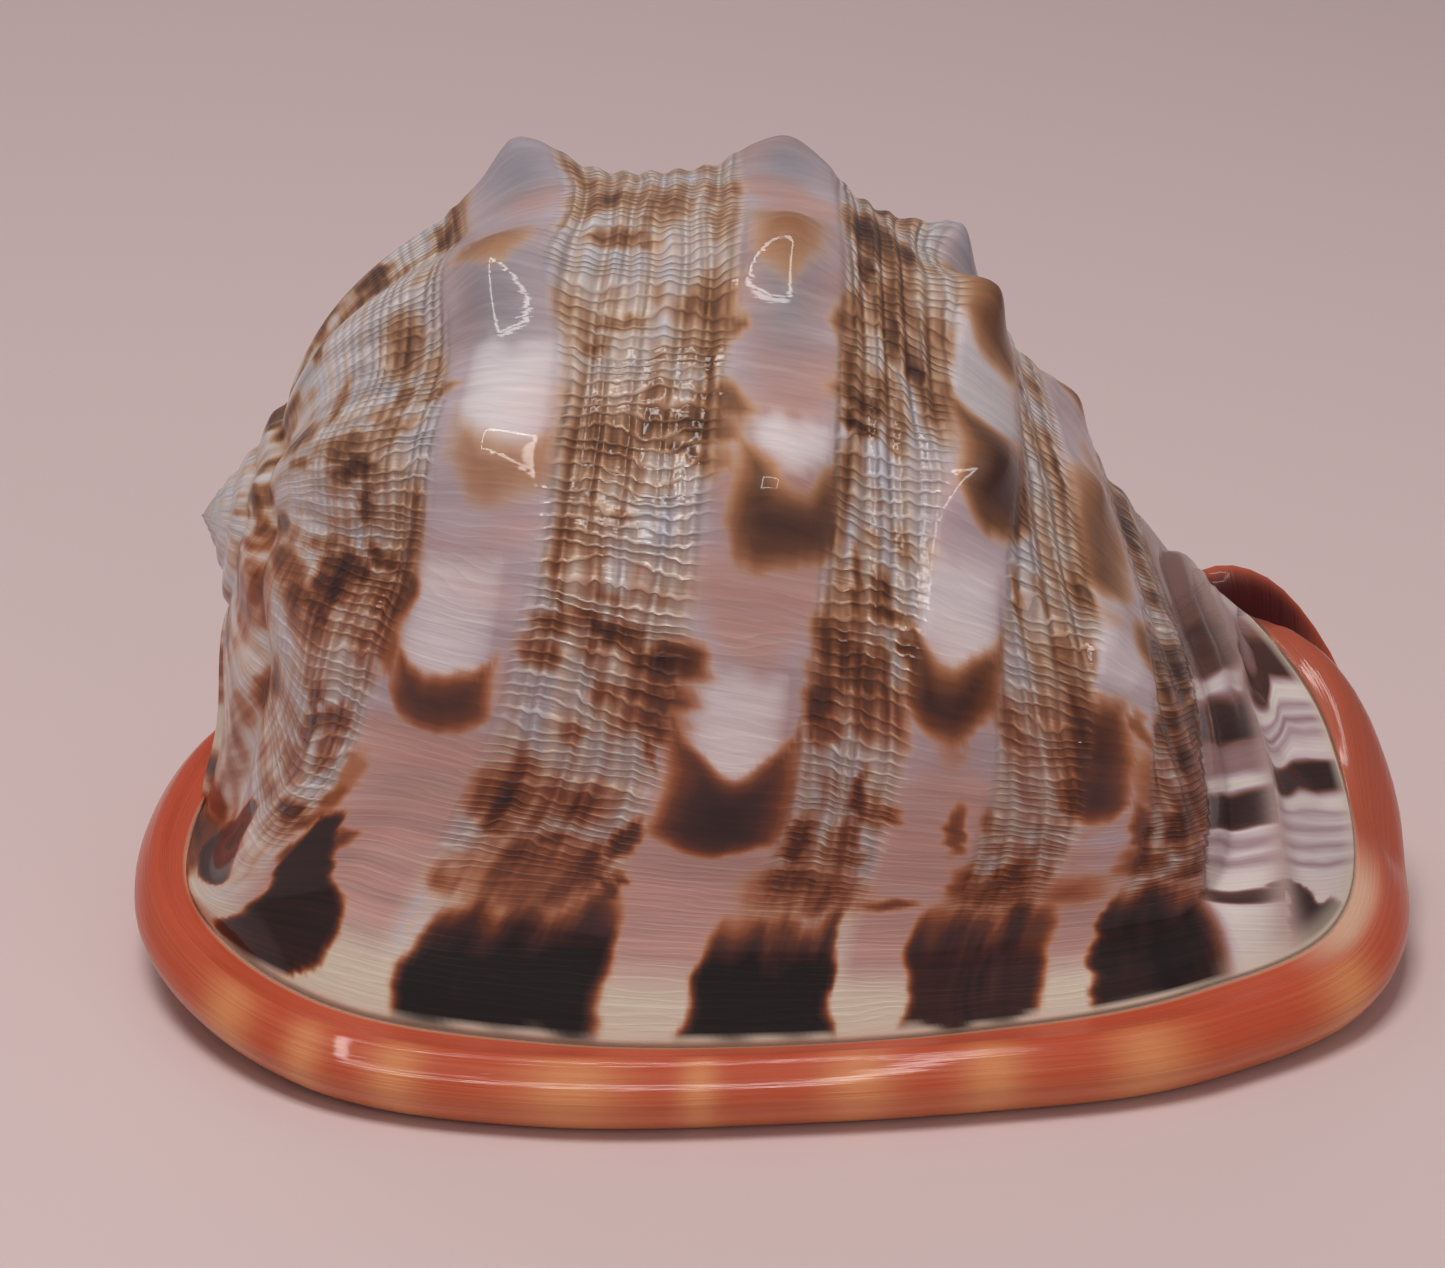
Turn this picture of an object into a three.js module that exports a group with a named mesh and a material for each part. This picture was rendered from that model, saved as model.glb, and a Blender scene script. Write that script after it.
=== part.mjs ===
// Helmet shell: the shell of a large sea snail, lying on the flat face around its mouth.
// Millimetres, +Z up. The spire points to -X, the canal to +X and the outer lip to -Y.
// The whole shell is one closed solid: outer skin, flange, underside, mouth slot and chamber.
import * as THREE from "three";

const DEG = Math.PI / 180;

// Rows of the body skin run from the spire (t = 0) to the canal (t = 1).
// Columns run over the shell: w = -1 far crease, 0 top, 1 near crease.
// row t, centre x, centre z, top radius, near radius, far radius, lean in degrees
const ROWS = [
  [0.0, -64.6, 47.8, 0, 0, 0, 13],
  [0.03, -63.4, 48, 2.7, 2.7, 2.7, 13],
  [0.07, -61, 48, 7, 7, 7, 13],
  [0.14, -57.5, 48, 15, 15, 15, 13],
  [0.22, -53, 47.8, 24.5, 24, 24.5, 13],
  [0.3, -46.5, 47.2, 32, 33, 32.5, 13],
  [0.38, -37, 46, 37.8, 40.5, 39.5, 12],
  [0.48, -22, 44, 42.2, 45.5, 44.5, 8],
  [0.58, -6, 41.5, 44.6, 47, 45.5, 5],
  [0.68, 9, 38, 45, 46, 43.5, 1],
  [0.77, 23, 34, 42, 43, 39.5, -5],
  [0.85, 36, 30.5, 35.5, 38, 33, -12],
  [0.92, 46.5, 28, 25.5, 30.5, 24.5, -20],
  [0.97, 53, 29.5, 12.5, 17, 13, -28],
  [1.0, 54.9, 33.5, 0, 0, 0, -32],
];
// The rows shrink to a point on the crease beside the canal, this far behind the middle.
const CANAL_TIP_Y = 7.7;
// Rows up to here close under the spire, later rows end on the crease of the flange.
const LAST_CLOSED = 0.3;
// lowest point of the closed rows: row t, x, z
const SPIRE_FOOT = [
  [0.0, -64.6, 47.8],
  [0.03, -63.4, 45.3],
  [0.07, -62.8, 41],
  [0.14, -62.9, 33],
  [0.22, -63.4, 22.5],
  [0.3, -66, 12.5],
];
// Share of a half row that lies above the widest point.
const WIDEST = 0.55;

// Crease between body and flange, seen from above: 180 spire end, 270 near, 360 canal end.
// angle, distance from the middle, height
const CREASE = [
  [108, 49, 12],
  [135, 53, 13],
  [160, 62.5, 13],
  [180, 66, 12.5],
  [200, 68.5, 11],
  [222, 65.5, 9.5],
  [245, 56.5, 8.5],
  [270, 51, 8],
  [295, 52.5, 8],
  [318, 61, 9],
  [335, 68.2, 10.5],
  [345, 68.2, 13],
  [353, 66.4, 18],
  [361, 62.5, 26],
  [368, 55.4, 33.5],
  [376, 51.5, 27],
  [388, 50.5, 19],
  [405, 51, 14],
  [428, 50.5, 12],
  [450, 49.5, 12],
  [468, 49, 12],
];
// where the rows end on the crease: row t, near angle, far angle
const ROW_ENDS = [
  [0.3, 180, 540],
  [0.33, 194, 528],
  [0.38, 211, 510],
  [0.48, 233, 481],
  [0.58, 254, 460],
  [0.68, 274.5, 440],
  [0.77, 291, 423],
  [0.85, 307, 407],
  [0.92, 328, 391],
  [0.97, 346, 379],
  [1.0, 368, 368],
];
// half axes of the oval that gives the outward direction of the flange
const OVAL_X = 75;
const OVAL_Y = 56;

// Rounded flange around the mouth: angle, width, clearance under it, thickness
const FLANGE = [
  [108, 8, 0, 10],
  [135, 9, 1.2, 10.5],
  [160, 8.5, 4, 10],
  [180, 6.7, 5.2, 8.6],
  [205, 6.3, 2.3, 8.4],
  [225, 6.4, 0.5, 8.6],
  [242, 6.4, 0, 8.8],
  [270, 6, 0, 8.8],
  [290, 6.6, 0, 8.8],
  [310, 7.2, 0, 8.6],
  [335, 6.4, 0.4, 9],
  [350, 7, 1.6, 11],
  [403, 14, 0.6, 10.5],
  [420, 10, 0, 10],
  [445, 8, 0, 10],
  [468, 8, 0, 10],
];
// Canal sector: the profile there is shaped by these points, from the crease outward.
// angle, then x, y, z of top inner, top outer, outermost, bottom and foot
const CANAL_FROM = 350;
const CANAL_TO = 403;
const CANAL = [
  [361, [65.2, 3.4, 28], [70.2, 2.2, 22], [73.4, -2.4, 11.5], [71.4, -9, 0.8], [65.5, -14, 0.2]],
  [366, [60.8, 7.4, 30.8], [67.4, 6.2, 24.5], [72.4, 1.2, 10.5], [70.8, -5, 1.6], [65.2, -10.8, 1.4]],
  [371, [57, 11.6, 26], [64, 10.8, 20], [69.2, 5.6, 8.5], [68.8, -0.5, 4], [64.6, -6.8, 3.6]],
  [377, [54.8, 15, 25.5], [62.6, 14.4, 20.5], [69.2, 9.6, 9], [69.4, 3, 3], [64.8, -3.6, 2.4]],
  [382, [53, 17.6, 32.8], [62.4, 17.8, 30.4], [70.6, 13.6, 17.6], [71, 7, 1.8], [64.6, -0.6, 0.6]],
  [387, [51.6, 20.4, 32.6], [61.6, 20.8, 29.6], [70.8, 16.6, 15.6], [70.6, 10.8, 1], [63.6, 2.6, 0.2]],
  [394, [47.4, 26, 21.5], [57.4, 28, 17], [68.2, 24.6, 8.5], [66.6, 19.6, 0.4], [59.5, 9.5, 0]],
];

// Mouth slot on the underside: row t, x, middle y, half width
const SLOT = [
  [0.3, -61, -13.5, 0.6],
  [0.33, -55, -15.5, 3],
  [0.38, -46.5, -18, 3.9],
  [0.6, -8.6, -20.5, 4.3],
  [0.8, 25.6, -19.5, 4.3],
  [0.92, 46.5, -16, 4.1],
  [0.97, 54.8, -12.4, 3.4],
  [1.0, 59.6, -9.6, 0.6],
];
const FOOT_NEAR = 7;
const FOOT_FAR = 13;
const SHOULDER_WIDTH = 3.4;
const SHOULDER_HEIGHT = 2;
const SLOT_EDGE_HEIGHT = 5.4;
const THROAT_HEIGHT = 12;
const TOOTH_PITCH = 0.031;
const TOOTH_START = 0.33;
const TOOTH_END = 0.95;
const LIP_TOOTH = 1.1;
const FOLD_TOOTH = 0.6;

// Chamber around the core: x, height of the core, core radius, chamber radius
const CHAMBER = [
  [-46, 47, 6, 21],
  [-37, 46, 9, 30],
  [-22, 44, 11, 36],
  [-6, 41.5, 11.5, 37.5],
  [9, 38, 11, 35.5],
  [23, 34, 9, 30],
  [34, 31, 6, 22],
  [40, 29.5, 4.5, 15],
];
// angles of the chamber rings around the core, 0 down, 90 near, 180 up
const CHAMBER_RINGS = [52, 76, 102, 128, 155, 182, 209, 236, 262];
const CHAMBER_MID_X = -3;
const CHAMBER_SHARE = 0.68;
const CHAMBER_TAPER = 0.3;

// Knobs: row t, column w, height, half length along the row, half width, lean to the spire
const KNOBS = [
  [0.385, -0.98, 2, 9, 7, 0],
  [0.385, -0.76, 3.4, 9, 7, 0],
  [0.385, -0.54, 4.6, 9, 7.5, 0.6],
  [0.385, -0.32, 5.8, 9.5, 8, 1.2],
  [0.405, -0.1, 5.8, 9, 8.5, 0.8],
  [0.398, 0.15, 4.8, 10.5, 9, 0.6],
  [0.412, 0.335, 3.6, 11, 9.5, 0],
  [0.4, 0.56, 1.3, 9, 8, 0],
  [0.61, -0.95, 1.4, 8, 6.5, 0],
  [0.61, -0.74, 2.6, 8, 6.5, 0],
  [0.61, -0.52, 3.8, 8, 7, 0],
  [0.61, -0.3, 4.8, 8.5, 7.5, 0],
  [0.606, -0.095, 4, 10, 9, 0],
  [0.606, 0.13, 5, 9.5, 9, 0],
  [0.602, 0.355, 6.4, 9.5, 9, 0],
  [0.59, 0.61, 1.4, 9, 8, 0],
  [0.77, -0.66, 1.2, 7, 5.5, 0],
  [0.77, -0.46, 2, 7, 5.5, 0],
  [0.775, -0.26, 2.8, 7, 6, 0],
  [0.76, -0.085, 4, 7.5, 7, 0],
  [0.78, 0.07, 4.4, 8, 7, 0],
  [0.77, 0.275, 3.6, 8.5, 7, 0],
  [0.742, 0.5, 1, 7, 6, 0],
  [0.885, -0.3, 1, 6, 5, 0],
  [0.885, -0.09, 1.7, 6, 5, 0],
  [0.885, 0.16, 1.3, 6, 5, 0],
  [0.87, 0.36, 1, 6, 5, 0],
];
const KNOB_POINT = 0.22;
const KNOB_REACH = 16;

// Raised smooth bands under the knob rows: middle of the band per column w, half width in t
const BAND_COLUMNS = [-1, -0.1, 0.12, 0.35, 0.57, 1];
const BANDS = [
  [[0.39, 0.387, 0.388, 0.412, 0.4, 0.41], 0.048],
  [[0.605, 0.611, 0.614, 0.604, 0.591, 0.585], 0.047],
  [[0.77, 0.785, 0.793, 0.758, 0.732, 0.73], 0.033],
  [[0.885, 0.887, 0.887, 0.882, 0.846, 0.835], 0.026],
];
const BAND_HEIGHT = 0.8;

// Spire: sutures follow a spiral that shrinks by this factor with every turn.
const SUTURE_RADIUS = 17.5;
const SUTURE_GROWTH = 1.6;
const SUTURE_TURNS = 6;
const SUTURE_DEPTH = 0.085;
const SUTURE_SWING = 0.66;
const FOLDS_PER_TURN = 9;
const FOLD_HEIGHT = 1;
const FOLD_COLUMN = 0.115;
const TIP_HEIGHT = 0.15;

// Ridge that borders the canal end of the body
const RIDGE_ROWS = [
  [-1, 0.955],
  [0, 0.984],
  [0.37, 0.986],
  [0.53, 0.982],
  [0.6, 0.97],
  [0.7, 0.953],
  [0.8, 0.937],
  [0.9, 0.926],
  [1, 0.922],
];
const RIDGE_HEIGHT = 0.9;
const RIDGE_WIDTH = 0.009;

// Rows and columns of the mesh
const SPIRE_ROWS = [0.014, 0.032, 0.05, 0.07, 0.09, 0.112, 0.135, 0.158, 0.182, 0.206, 0.23, 0.254, 0.278];
const END_ROWS = [0.96, 0.97, 0.98, 0.99];
const UPPER_COLUMNS = 30;
const UPPER_LIMIT = 0.63;
const LOWER_COLUMNS = [0.69, 0.76, 0.84, 0.92, 1];
// steps along the flange profile: 0 crease, 1 top, 2 edge, 3 outermost, 4 bottom, 5 foot,
// 6 shoulder of the slot, 7 slot edge, 8 throat
const PROFILE_STEPS = [0.5, 1, 1.5, 2, 2.5, 3, 3.5, 4, 5, 5.4, 5.7, 6, 6.5, 7, 8];

// Smooth curve through the rows of a table: column 0 is the place, column k the value.
function curve(table, k, at) {
  const last = table.length - 1;
  const here = Math.min(Math.max(at, table[0][0]), table[last][0]);
  let i = 0;
  while (i < last - 1 && here >= table[i + 1][0]) i += 1;
  const span = table[i + 1][0] - table[i][0];
  const u = (here - table[i][0]) / span;
  const a = slope(table, k, i) * span;
  const b = slope(table, k, i + 1) * span;
  const p = table[i][k];
  const q = table[i + 1][k];
  return p + u * a + u * u * (3 * (q - p) - 2 * a - b) + u * u * u * (2 * (p - q) + a + b);
}

function slope(table, k, i) {
  const last = table.length - 1;
  const rise = (j) => (table[j + 1][k] - table[j][k]) / (table[j + 1][0] - table[j][0]);
  if (i === 0) return rise(0);
  if (i === last) return rise(last - 1);
  const before = table[i][0] - table[i - 1][0];
  const after = table[i + 1][0] - table[i][0];
  return (rise(i - 1) * after + rise(i) * before) / (before + after);
}

function ease(from, to, x) {
  const u = Math.min(Math.max((x - from) / (to - from), 0), 1);
  return u * u * (3 - 2 * u);
}

function mix(a, b, u) {
  return a.clone().lerp(b, u);
}

// Copies the ends of an angle table once around, so that the curve closes smoothly.
function closed(table) {
  const before = table.slice(-4, -1).map((row) => [row[0] - 360, ...row.slice(1)]);
  const after = table.slice(1, 4).map((row) => [row[0] + 360, ...row.slice(1)]);
  return [...before, ...table, ...after];
}

const CREASE_LOOP = closed(CREASE);
const FLANGE_LOOP = closed(FLANGE);

function turned(angle) {
  return ((((angle - 108) % 360) + 360) % 360) + 108;
}

function creasePoint(angle) {
  const a = turned(angle);
  const r = curve(CREASE_LOOP, 1, a);
  return new THREE.Vector3(r * Math.cos(a * DEG), r * Math.sin(a * DEG), curve(CREASE_LOOP, 2, a));
}

function outward(point) {
  return new THREE.Vector3(point.x / OVAL_X ** 2, point.y / OVAL_Y ** 2, 0).normalize();
}

function rowAngle(t, near) {
  return curve(ROW_ENDS, near ? 1 : 2, t);
}

function rowEnd(t, near) {
  if (t >= LAST_CLOSED) return creasePoint(rowAngle(t, near));
  const y = creasePoint(180).y * ease(0, LAST_CLOSED, t);
  return new THREE.Vector3(curve(SPIRE_FOOT, 1, t), y, curve(SPIRE_FOOT, 2, t));
}

// Smooth form of the body without knobs and folds.
function bodyPoint(t, w) {
  const near = w > 0;
  const a = Math.abs(w);
  const lean = curve(ROWS, 6, t) * DEG;
  const side = near ? -curve(ROWS, 4, t) : curve(ROWS, 5, t);
  const up = new THREE.Vector3(Math.sin(lean), 0, Math.cos(lean));
  const middle = CANAL_TIP_Y * ease(0.9, 1, t);
  const centre = new THREE.Vector3(curve(ROWS, 1, t), middle, curve(ROWS, 2, t));
  if (a < WIDEST) {
    const turn = (a / WIDEST) * 90 * DEG;
    const point = centre.clone().addScaledVector(up, curve(ROWS, 3, t) * Math.cos(turn));
    point.y += side * Math.sin(turn);
    return point;
  }
  const start = centre.clone();
  start.y += side;
  const end = rowEnd(t, near);
  const v = (a - WIDEST) / (1 - WIDEST);
  const drop = start.distanceTo(end);
  const open = ease(LAST_CLOSED, LAST_CLOSED + 0.12, t);
  const pull = 0.45 * Math.min(drop, Math.abs(centre.z - end.z) * 1.2 + 0.2 * drop);
  const first = start.clone().addScaledVector(up, -pull);
  const second = end.clone();
  second.y += Math.sign(side) * Math.abs(side) * 0.55 * (1 - open);
  second.z += open * 0.4 * Math.abs(start.z - end.z);
  second.addScaledVector(outward(end), -5 * open);
  const point = start.multiplyScalar((1 - v) ** 3);
  point.addScaledVector(first, 3 * v * (1 - v) ** 2);
  point.addScaledVector(second, 3 * v * v * (1 - v));
  point.addScaledVector(end, v ** 3);
  return point;
}

// Directions across the rows, along the row and straight out of the skin.
function bodyFrame(t, w) {
  const dt = 0.004;
  const dw = 0.004;
  const t0 = Math.max(t - dt, 0.002);
  const t1 = Math.min(t + dt, 0.998);
  const across = bodyPoint(t1, w).sub(bodyPoint(t0, w)).normalize();
  const w0 = Math.max(w - dw, -1);
  const w1 = Math.min(w + dw, 1);
  const along = bodyPoint(t, w1).sub(bodyPoint(t, w0)).normalize();
  const out = along.clone().cross(across).normalize();
  return { along, across, out };
}

function makeKnob(row) {
  const [t, w, height, length, width, lean] = row;
  const { along, across, out } = bodyFrame(t, w);
  return { centre: bodyPoint(t, w), along, across, out, height, length, width, lean };
}

const KNOB_FORMS = KNOBS.map(makeKnob);

// Knobs push the skin out, round at the foot and blunt at the tip.
function knobLift(point) {
  const lift = new THREE.Vector3();
  for (const knob of KNOB_FORMS) {
    const d = point.clone().sub(knob.centre);
    if (d.length() > 2 * KNOB_REACH) continue;
    const a = d.dot(knob.along) / knob.length;
    const b = d.dot(knob.across) / knob.width;
    const q = a * a + b * b;
    const round = Math.exp(-2.2 * q);
    const pointed = Math.exp(-2.2 * (Math.sqrt(q + 0.03) - Math.sqrt(0.03)));
    const form = (1 - KNOB_POINT) * round + KNOB_POINT * pointed * Math.exp(-0.8 * q);
    lift.addScaledVector(knob.out, knob.height * form);
    lift.addScaledVector(knob.across, -knob.lean * form);
  }
  return lift;
}

function bandLift(t, w) {
  let lift = 0;
  for (const [middle, half] of BANDS) {
    const table = BAND_COLUMNS.map((column, i) => [column, middle[i]]);
    const off = Math.abs(t - curve(table, 1, w)) / half;
    lift += BAND_HEIGHT * (1 - ease(0.7, 1.35, off));
  }
  return lift * (1 - ease(0.55, 0.9, Math.abs(w)));
}

// Sutures of the earlier turns: steep towards the tip, flat on the outer side.
function sutureLift(t, w) {
  const r = Math.max(curve(ROWS, 3, t), 0.4);
  let lift = 0;
  for (let k = 0; k < SUTURE_TURNS; k += 1) {
    let radius = SUTURE_RADIUS * SUTURE_GROWTH ** ((w - 1) / 2 - k);
    let depth = SUTURE_DEPTH;
    if (k === 0) {
      radius *= Math.exp(SUTURE_SWING * ease(0.35, 1, w));
      depth *= 1 - ease(0.8, 1, w);
    }
    const s = Math.log(r / radius);
    const wall = s < 0 ? Math.exp(-((s / 0.1) ** 2)) : Math.exp(-s / 0.2);
    lift -= depth * Math.min(radius, r) * wall;
  }
  return lift;
}

function foldLift(t, w) {
  const zone = ease(0.05, 0.2, t) * (1 - ease(0.33, 0.4, t));
  const wave = Math.cos(FOLDS_PER_TURN * Math.PI * (w - FOLD_COLUMN));
  return FOLD_HEIGHT * zone * wave * (1 - ease(0.5, 0.9, w));
}

function ridgeLift(t, w) {
  const off = (t - curve(RIDGE_ROWS, 1, w)) / RIDGE_WIDTH;
  return RIDGE_HEIGHT * Math.exp(-off * off) * ease(0, 0.06, 1 - t + 0.02);
}

// The finished outer skin: smooth body with bands, sutures, folds and knobs.
function skinPoint(t, w) {
  const point = bodyPoint(t, w);
  const fade = (1 - ease(0.86, 1, Math.abs(w)) * ease(0.28, 0.34, t)) * (1 - ease(0.985, 1, t));
  const { out } = bodyFrame(t, w);
  const lift = bandLift(t, w) + sutureLift(t, w) + foldLift(t, w) + ridgeLift(t, w);
  return point.clone().addScaledVector(out, lift * fade).addScaledVector(knobLift(point), fade);
}

// Points of the flange profile away from the canal: top inner, top outer, outermost, bottom, foot.
function flangePoints(angle, near) {
  const a = turned(angle);
  const crease = creasePoint(a);
  const out = outward(crease);
  const half = curve(FLANGE_LOOP, 3, a) / 2;
  const low = Math.max(curve(FLANGE_LOOP, 2, a), 0);
  const edge = crease.clone().addScaledVector(out, curve(FLANGE_LOOP, 1, a) - 0.8 * half);
  edge.z = low + half;
  const at = (reach, height) => edge.clone().addScaledVector(out, reach).setZ(edge.z + height);
  const top = at(0.25 * half, 0.92 * half);
  const foot = at(-(near ? FOOT_NEAR : FOOT_FAR), -half).setZ(0.8 * low);
  return [mix(crease, top, 0.5), top, at(0.8 * half, 0), at(0, -half), foot];
}

// Table of one profile point along the canal sector, tied to the flange at both ends.
function canalTable(k) {
  const start = flangePoints(CANAL_FROM, true)[k];
  const end = flangePoints(CANAL_TO, false)[k];
  const inner = CANAL.map((row) => [row[0], ...row[k + 1]]);
  return [[CANAL_FROM, ...start.toArray()], ...inner, [CANAL_TO, ...end.toArray()]];
}

const CANAL_TABLES = [0, 1, 2, 3, 4].map(canalTable);

function profilePoints(angle, near) {
  const a = turned(angle);
  if (a <= CANAL_FROM || a >= CANAL_TO) return flangePoints(a, near);
  return CANAL_TABLES.map((table) => new THREE.Vector3(...[1, 2, 3].map((k) => curve(table, k, a))));
}

// Teeth of the lip and folds of the core side: 1 on a tooth, -1 between two.
function toothWave(t) {
  const zone = ease(TOOTH_START, TOOTH_START + 0.03, t) * (1 - ease(TOOTH_END - 0.03, TOOTH_END, t));
  return zone * Math.cos((2 * Math.PI * (t - TOOTH_START)) / TOOTH_PITCH);
}

// Profile points 6 to 8: shoulder of the slot, slot edge and throat.
function slotPoints(t, near) {
  const x = curve(SLOT, 1, t);
  const y = curve(SLOT, 2, t);
  const half = curve(SLOT, 3, t);
  const side = near ? -1 : 1;
  const width = 1 - 0.6 * (1 - ease(0.3, 0.36, t)) - 0.6 * ease(0.94, 1, t);
  const shoulder = new THREE.Vector3(x, y + side * (half + SHOULDER_WIDTH * width), SHOULDER_HEIGHT);
  shoulder.x += (t < 0.5 ? -2.5 : 3.5) * (1 - width);
  shoulder.z += 2.2 * ease(0.97, 1, t);
  const edge = new THREE.Vector3(x, y + side * half, SLOT_EDGE_HEIGHT);
  const throat = new THREE.Vector3(x * 0.97, y + side * (half + 0.8), THROAT_HEIGHT);
  return [shoulder, edge, throat];
}

// Position on the profile of a row end: whole steps are the points named above.
function profilePoint(t, near, step) {
  const angle = rowAngle(t, near);
  const points = [creasePoint(angle), ...profilePoints(angle, near), ...slotPoints(t, near)];
  const tables = ["x", "y", "z"].map((axis) => points.map((p, i) => [i, p[axis]]));
  const point = new THREE.Vector3(...tables.map((table) => curve(table, 1, step)));
  if (step > 3 && step <= 5) point.z = Math.max(point.z, points[4].z * (5 - step) + points[5].z * (step - 4), 0);
  const tooth = toothWave(t) * (near ? LIP_TOOTH : FOLD_TOOTH);
  const reach = near ? ease(5.2, 5.6, step) : ease(5.5, 5.9, step);
  point.z -= tooth * reach * (1 - ease(6, 7, step));
  point.y += (near ? 1 : -1) * tooth * ease(6, 6.6, step) * (1 - ease(7, 8, step));
  if (step > 5 && point.z < 0) point.z = 0;
  return point;
}

// One point of a chamber ring: the near end of a row lies outside, the far end at the core.
function chamberPoint(t, near, k) {
  const angle = CHAMBER_RINGS[k];
  const back = (angle - CHAMBER_RINGS[0]) / 210;
  const share = CHAMBER_SHARE * (1 - CHAMBER_TAPER * back);
  const x = CHAMBER_MID_X + curve(SLOT, 1, t) * share;
  const s = curve(SLOT, 1, t) / 61;
  const open = Math.sqrt(Math.max(1 - Math.abs(s) ** 4, 0));
  const core = curve(CHAMBER, 2, x);
  const outer = curve(CHAMBER, 3, x) * (1 - 0.08 * back);
  const radius = (core + outer) / 2 + ((near ? 1 : -1) * open * (outer - core)) / 2;
  const y = -radius * Math.sin(angle * DEG);
  return new THREE.Vector3(x, y, curve(CHAMBER, 1, x) - radius * Math.cos(angle * DEG));
}

function rowPlaces() {
  const rows = [0, ...SPIRE_ROWS, LAST_CLOSED, 0.315];
  const pitch = TOOTH_PITCH / 2;
  for (let t = TOOTH_START; t < TOOTH_END + pitch / 2; t += pitch) rows.push(t);
  return [...rows, ...END_ROWS, 1];
}

function columnPlaces() {
  const middle = [];
  for (let j = 0; j <= UPPER_COLUMNS; j += 1) {
    middle.push(UPPER_LIMIT * ((2 * j) / UPPER_COLUMNS - 1));
  }
  return [...LOWER_COLUMNS.map((w) => -w).reverse(), ...middle, ...LOWER_COLUMNS];
}

// Collects corners and triangles of the solid.
class Skin {
  constructor() {
    this.corners = [];
    this.faces = [];
  }

  add(point) {
    this.corners.push(point.x, point.y, point.z);
    return this.corners.length / 3 - 1;
  }

  triangle(a, b, c) {
    if (a !== b && b !== c && a !== c) this.faces.push(a, c, b);
  }

  quad(a, b, c, d) {
    this.triangle(a, b, c);
    this.triangle(a, c, d);
  }

  // Joins two neighbouring lines of corners.
  strip(first, second) {
    for (let i = 0; i + 1 < first.length; i += 1) {
      this.quad(first[i], first[i + 1], second[i + 1], second[i]);
    }
  }
}

// Body skin: returns the corners of every row.
function addBody(skin, rows, columns) {
  const tip = skin.add(tipPoint());
  const end = skin.add(bodyPoint(1, 0));
  const lines = rows.map((t) => {
    if (t === 0) return columns.map(() => tip);
    if (t === 1) return columns.map(() => end);
    const line = columns.slice(0, -1).map((w) => skin.add(skinPoint(t, w)));
    line.push(t <= LAST_CLOSED ? line[0] : skin.add(skinPoint(t, 1)));
    return line;
  });
  for (let i = 0; i + 1 < lines.length; i += 1) skin.strip(lines[i + 1], lines[i]);
  return lines;
}

function tipPoint() {
  const point = bodyPoint(0, 0);
  point.x -= TIP_HEIGHT;
  return point;
}

// Flange, underside, slot and chamber: rings inside each other, starting from the crease.
function addMouth(skin, rows, lines) {
  const open = rows.map((t, i) => i).filter((i) => rows[i] > LAST_CLOSED && rows[i] < 1);
  const first = rows.indexOf(LAST_CLOSED);
  const last = rows.length - 1;
  const stops = [
    [first, true],
    ...open.map((i) => [i, true]),
    [last, true],
    ...open.reverse().map((i) => [i, false]),
  ];
  const crease = stops.map(([i, near]) => (near ? lines[i].at(-1) : lines[i][0]));
  let ring = crease;
  const join = (next) => {
    skin.strip([...ring, ring[0]], [...next, next[0]]);
    ring = next;
  };
  for (const step of PROFILE_STEPS) {
    join(stops.map(([i, near]) => skin.add(profilePoint(rows[i], near, step))));
  }
  for (let k = 0; k < CHAMBER_RINGS.length; k += 1) {
    join(stops.map(([i, near]) => skin.add(chamberPoint(rows[i], near, k))));
  }
  closeRing(skin, ring, open.length);
}

// Closes the last chamber ring by joining its outer to its inner side.
function closeRing(skin, ring, count) {
  const outer = ring.slice(0, count + 2);
  const inner = [ring[0], ...ring.slice(count + 2).reverse(), ring[count + 1]];
  skin.strip(outer, inner);
}

function makeShell() {
  const rows = rowPlaces();
  const skin = new Skin();
  const lines = addBody(skin, rows, columnPlaces());
  addMouth(skin, rows, lines);
  const geometry = new THREE.BufferGeometry();
  geometry.setAttribute("position", new THREE.Float32BufferAttribute(skin.corners, 3));
  geometry.setIndex(skin.faces);
  geometry.computeBoundingBox();
  const middle = geometry.boundingBox.getCenter(new THREE.Vector3());
  geometry.translate(-middle.x, -middle.y, -geometry.boundingBox.min.z);
  geometry.computeVertexNormals();
  return geometry;
}

const shellMaterial = new THREE.MeshStandardMaterial({ color: 0xc9a184, roughness: 0.35, metalness: 0 });
const shell = new THREE.Mesh(makeShell(), shellMaterial);
shell.name = "helmet_shell";

const group = new THREE.Group();
group.name = "helmet_shell_part";
group.add(shell);

export default group;
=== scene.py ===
"""Helmet shell in Blender: the dressed shell on a pale floor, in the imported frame's metres."""
import math

import bpy
import numpy as np
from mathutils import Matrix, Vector, noise


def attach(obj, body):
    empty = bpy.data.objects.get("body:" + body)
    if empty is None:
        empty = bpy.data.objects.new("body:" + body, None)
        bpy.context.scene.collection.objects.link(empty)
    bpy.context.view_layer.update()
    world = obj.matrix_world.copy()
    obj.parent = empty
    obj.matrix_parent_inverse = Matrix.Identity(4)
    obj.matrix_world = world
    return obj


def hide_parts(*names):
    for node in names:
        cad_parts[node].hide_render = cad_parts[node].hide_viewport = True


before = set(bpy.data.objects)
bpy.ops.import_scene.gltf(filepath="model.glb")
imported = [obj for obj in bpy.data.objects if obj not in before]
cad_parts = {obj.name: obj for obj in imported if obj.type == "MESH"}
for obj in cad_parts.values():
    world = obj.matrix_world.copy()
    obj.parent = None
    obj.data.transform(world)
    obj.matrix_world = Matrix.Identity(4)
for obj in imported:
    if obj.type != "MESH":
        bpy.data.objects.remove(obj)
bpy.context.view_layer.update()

MM = 0.001

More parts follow.
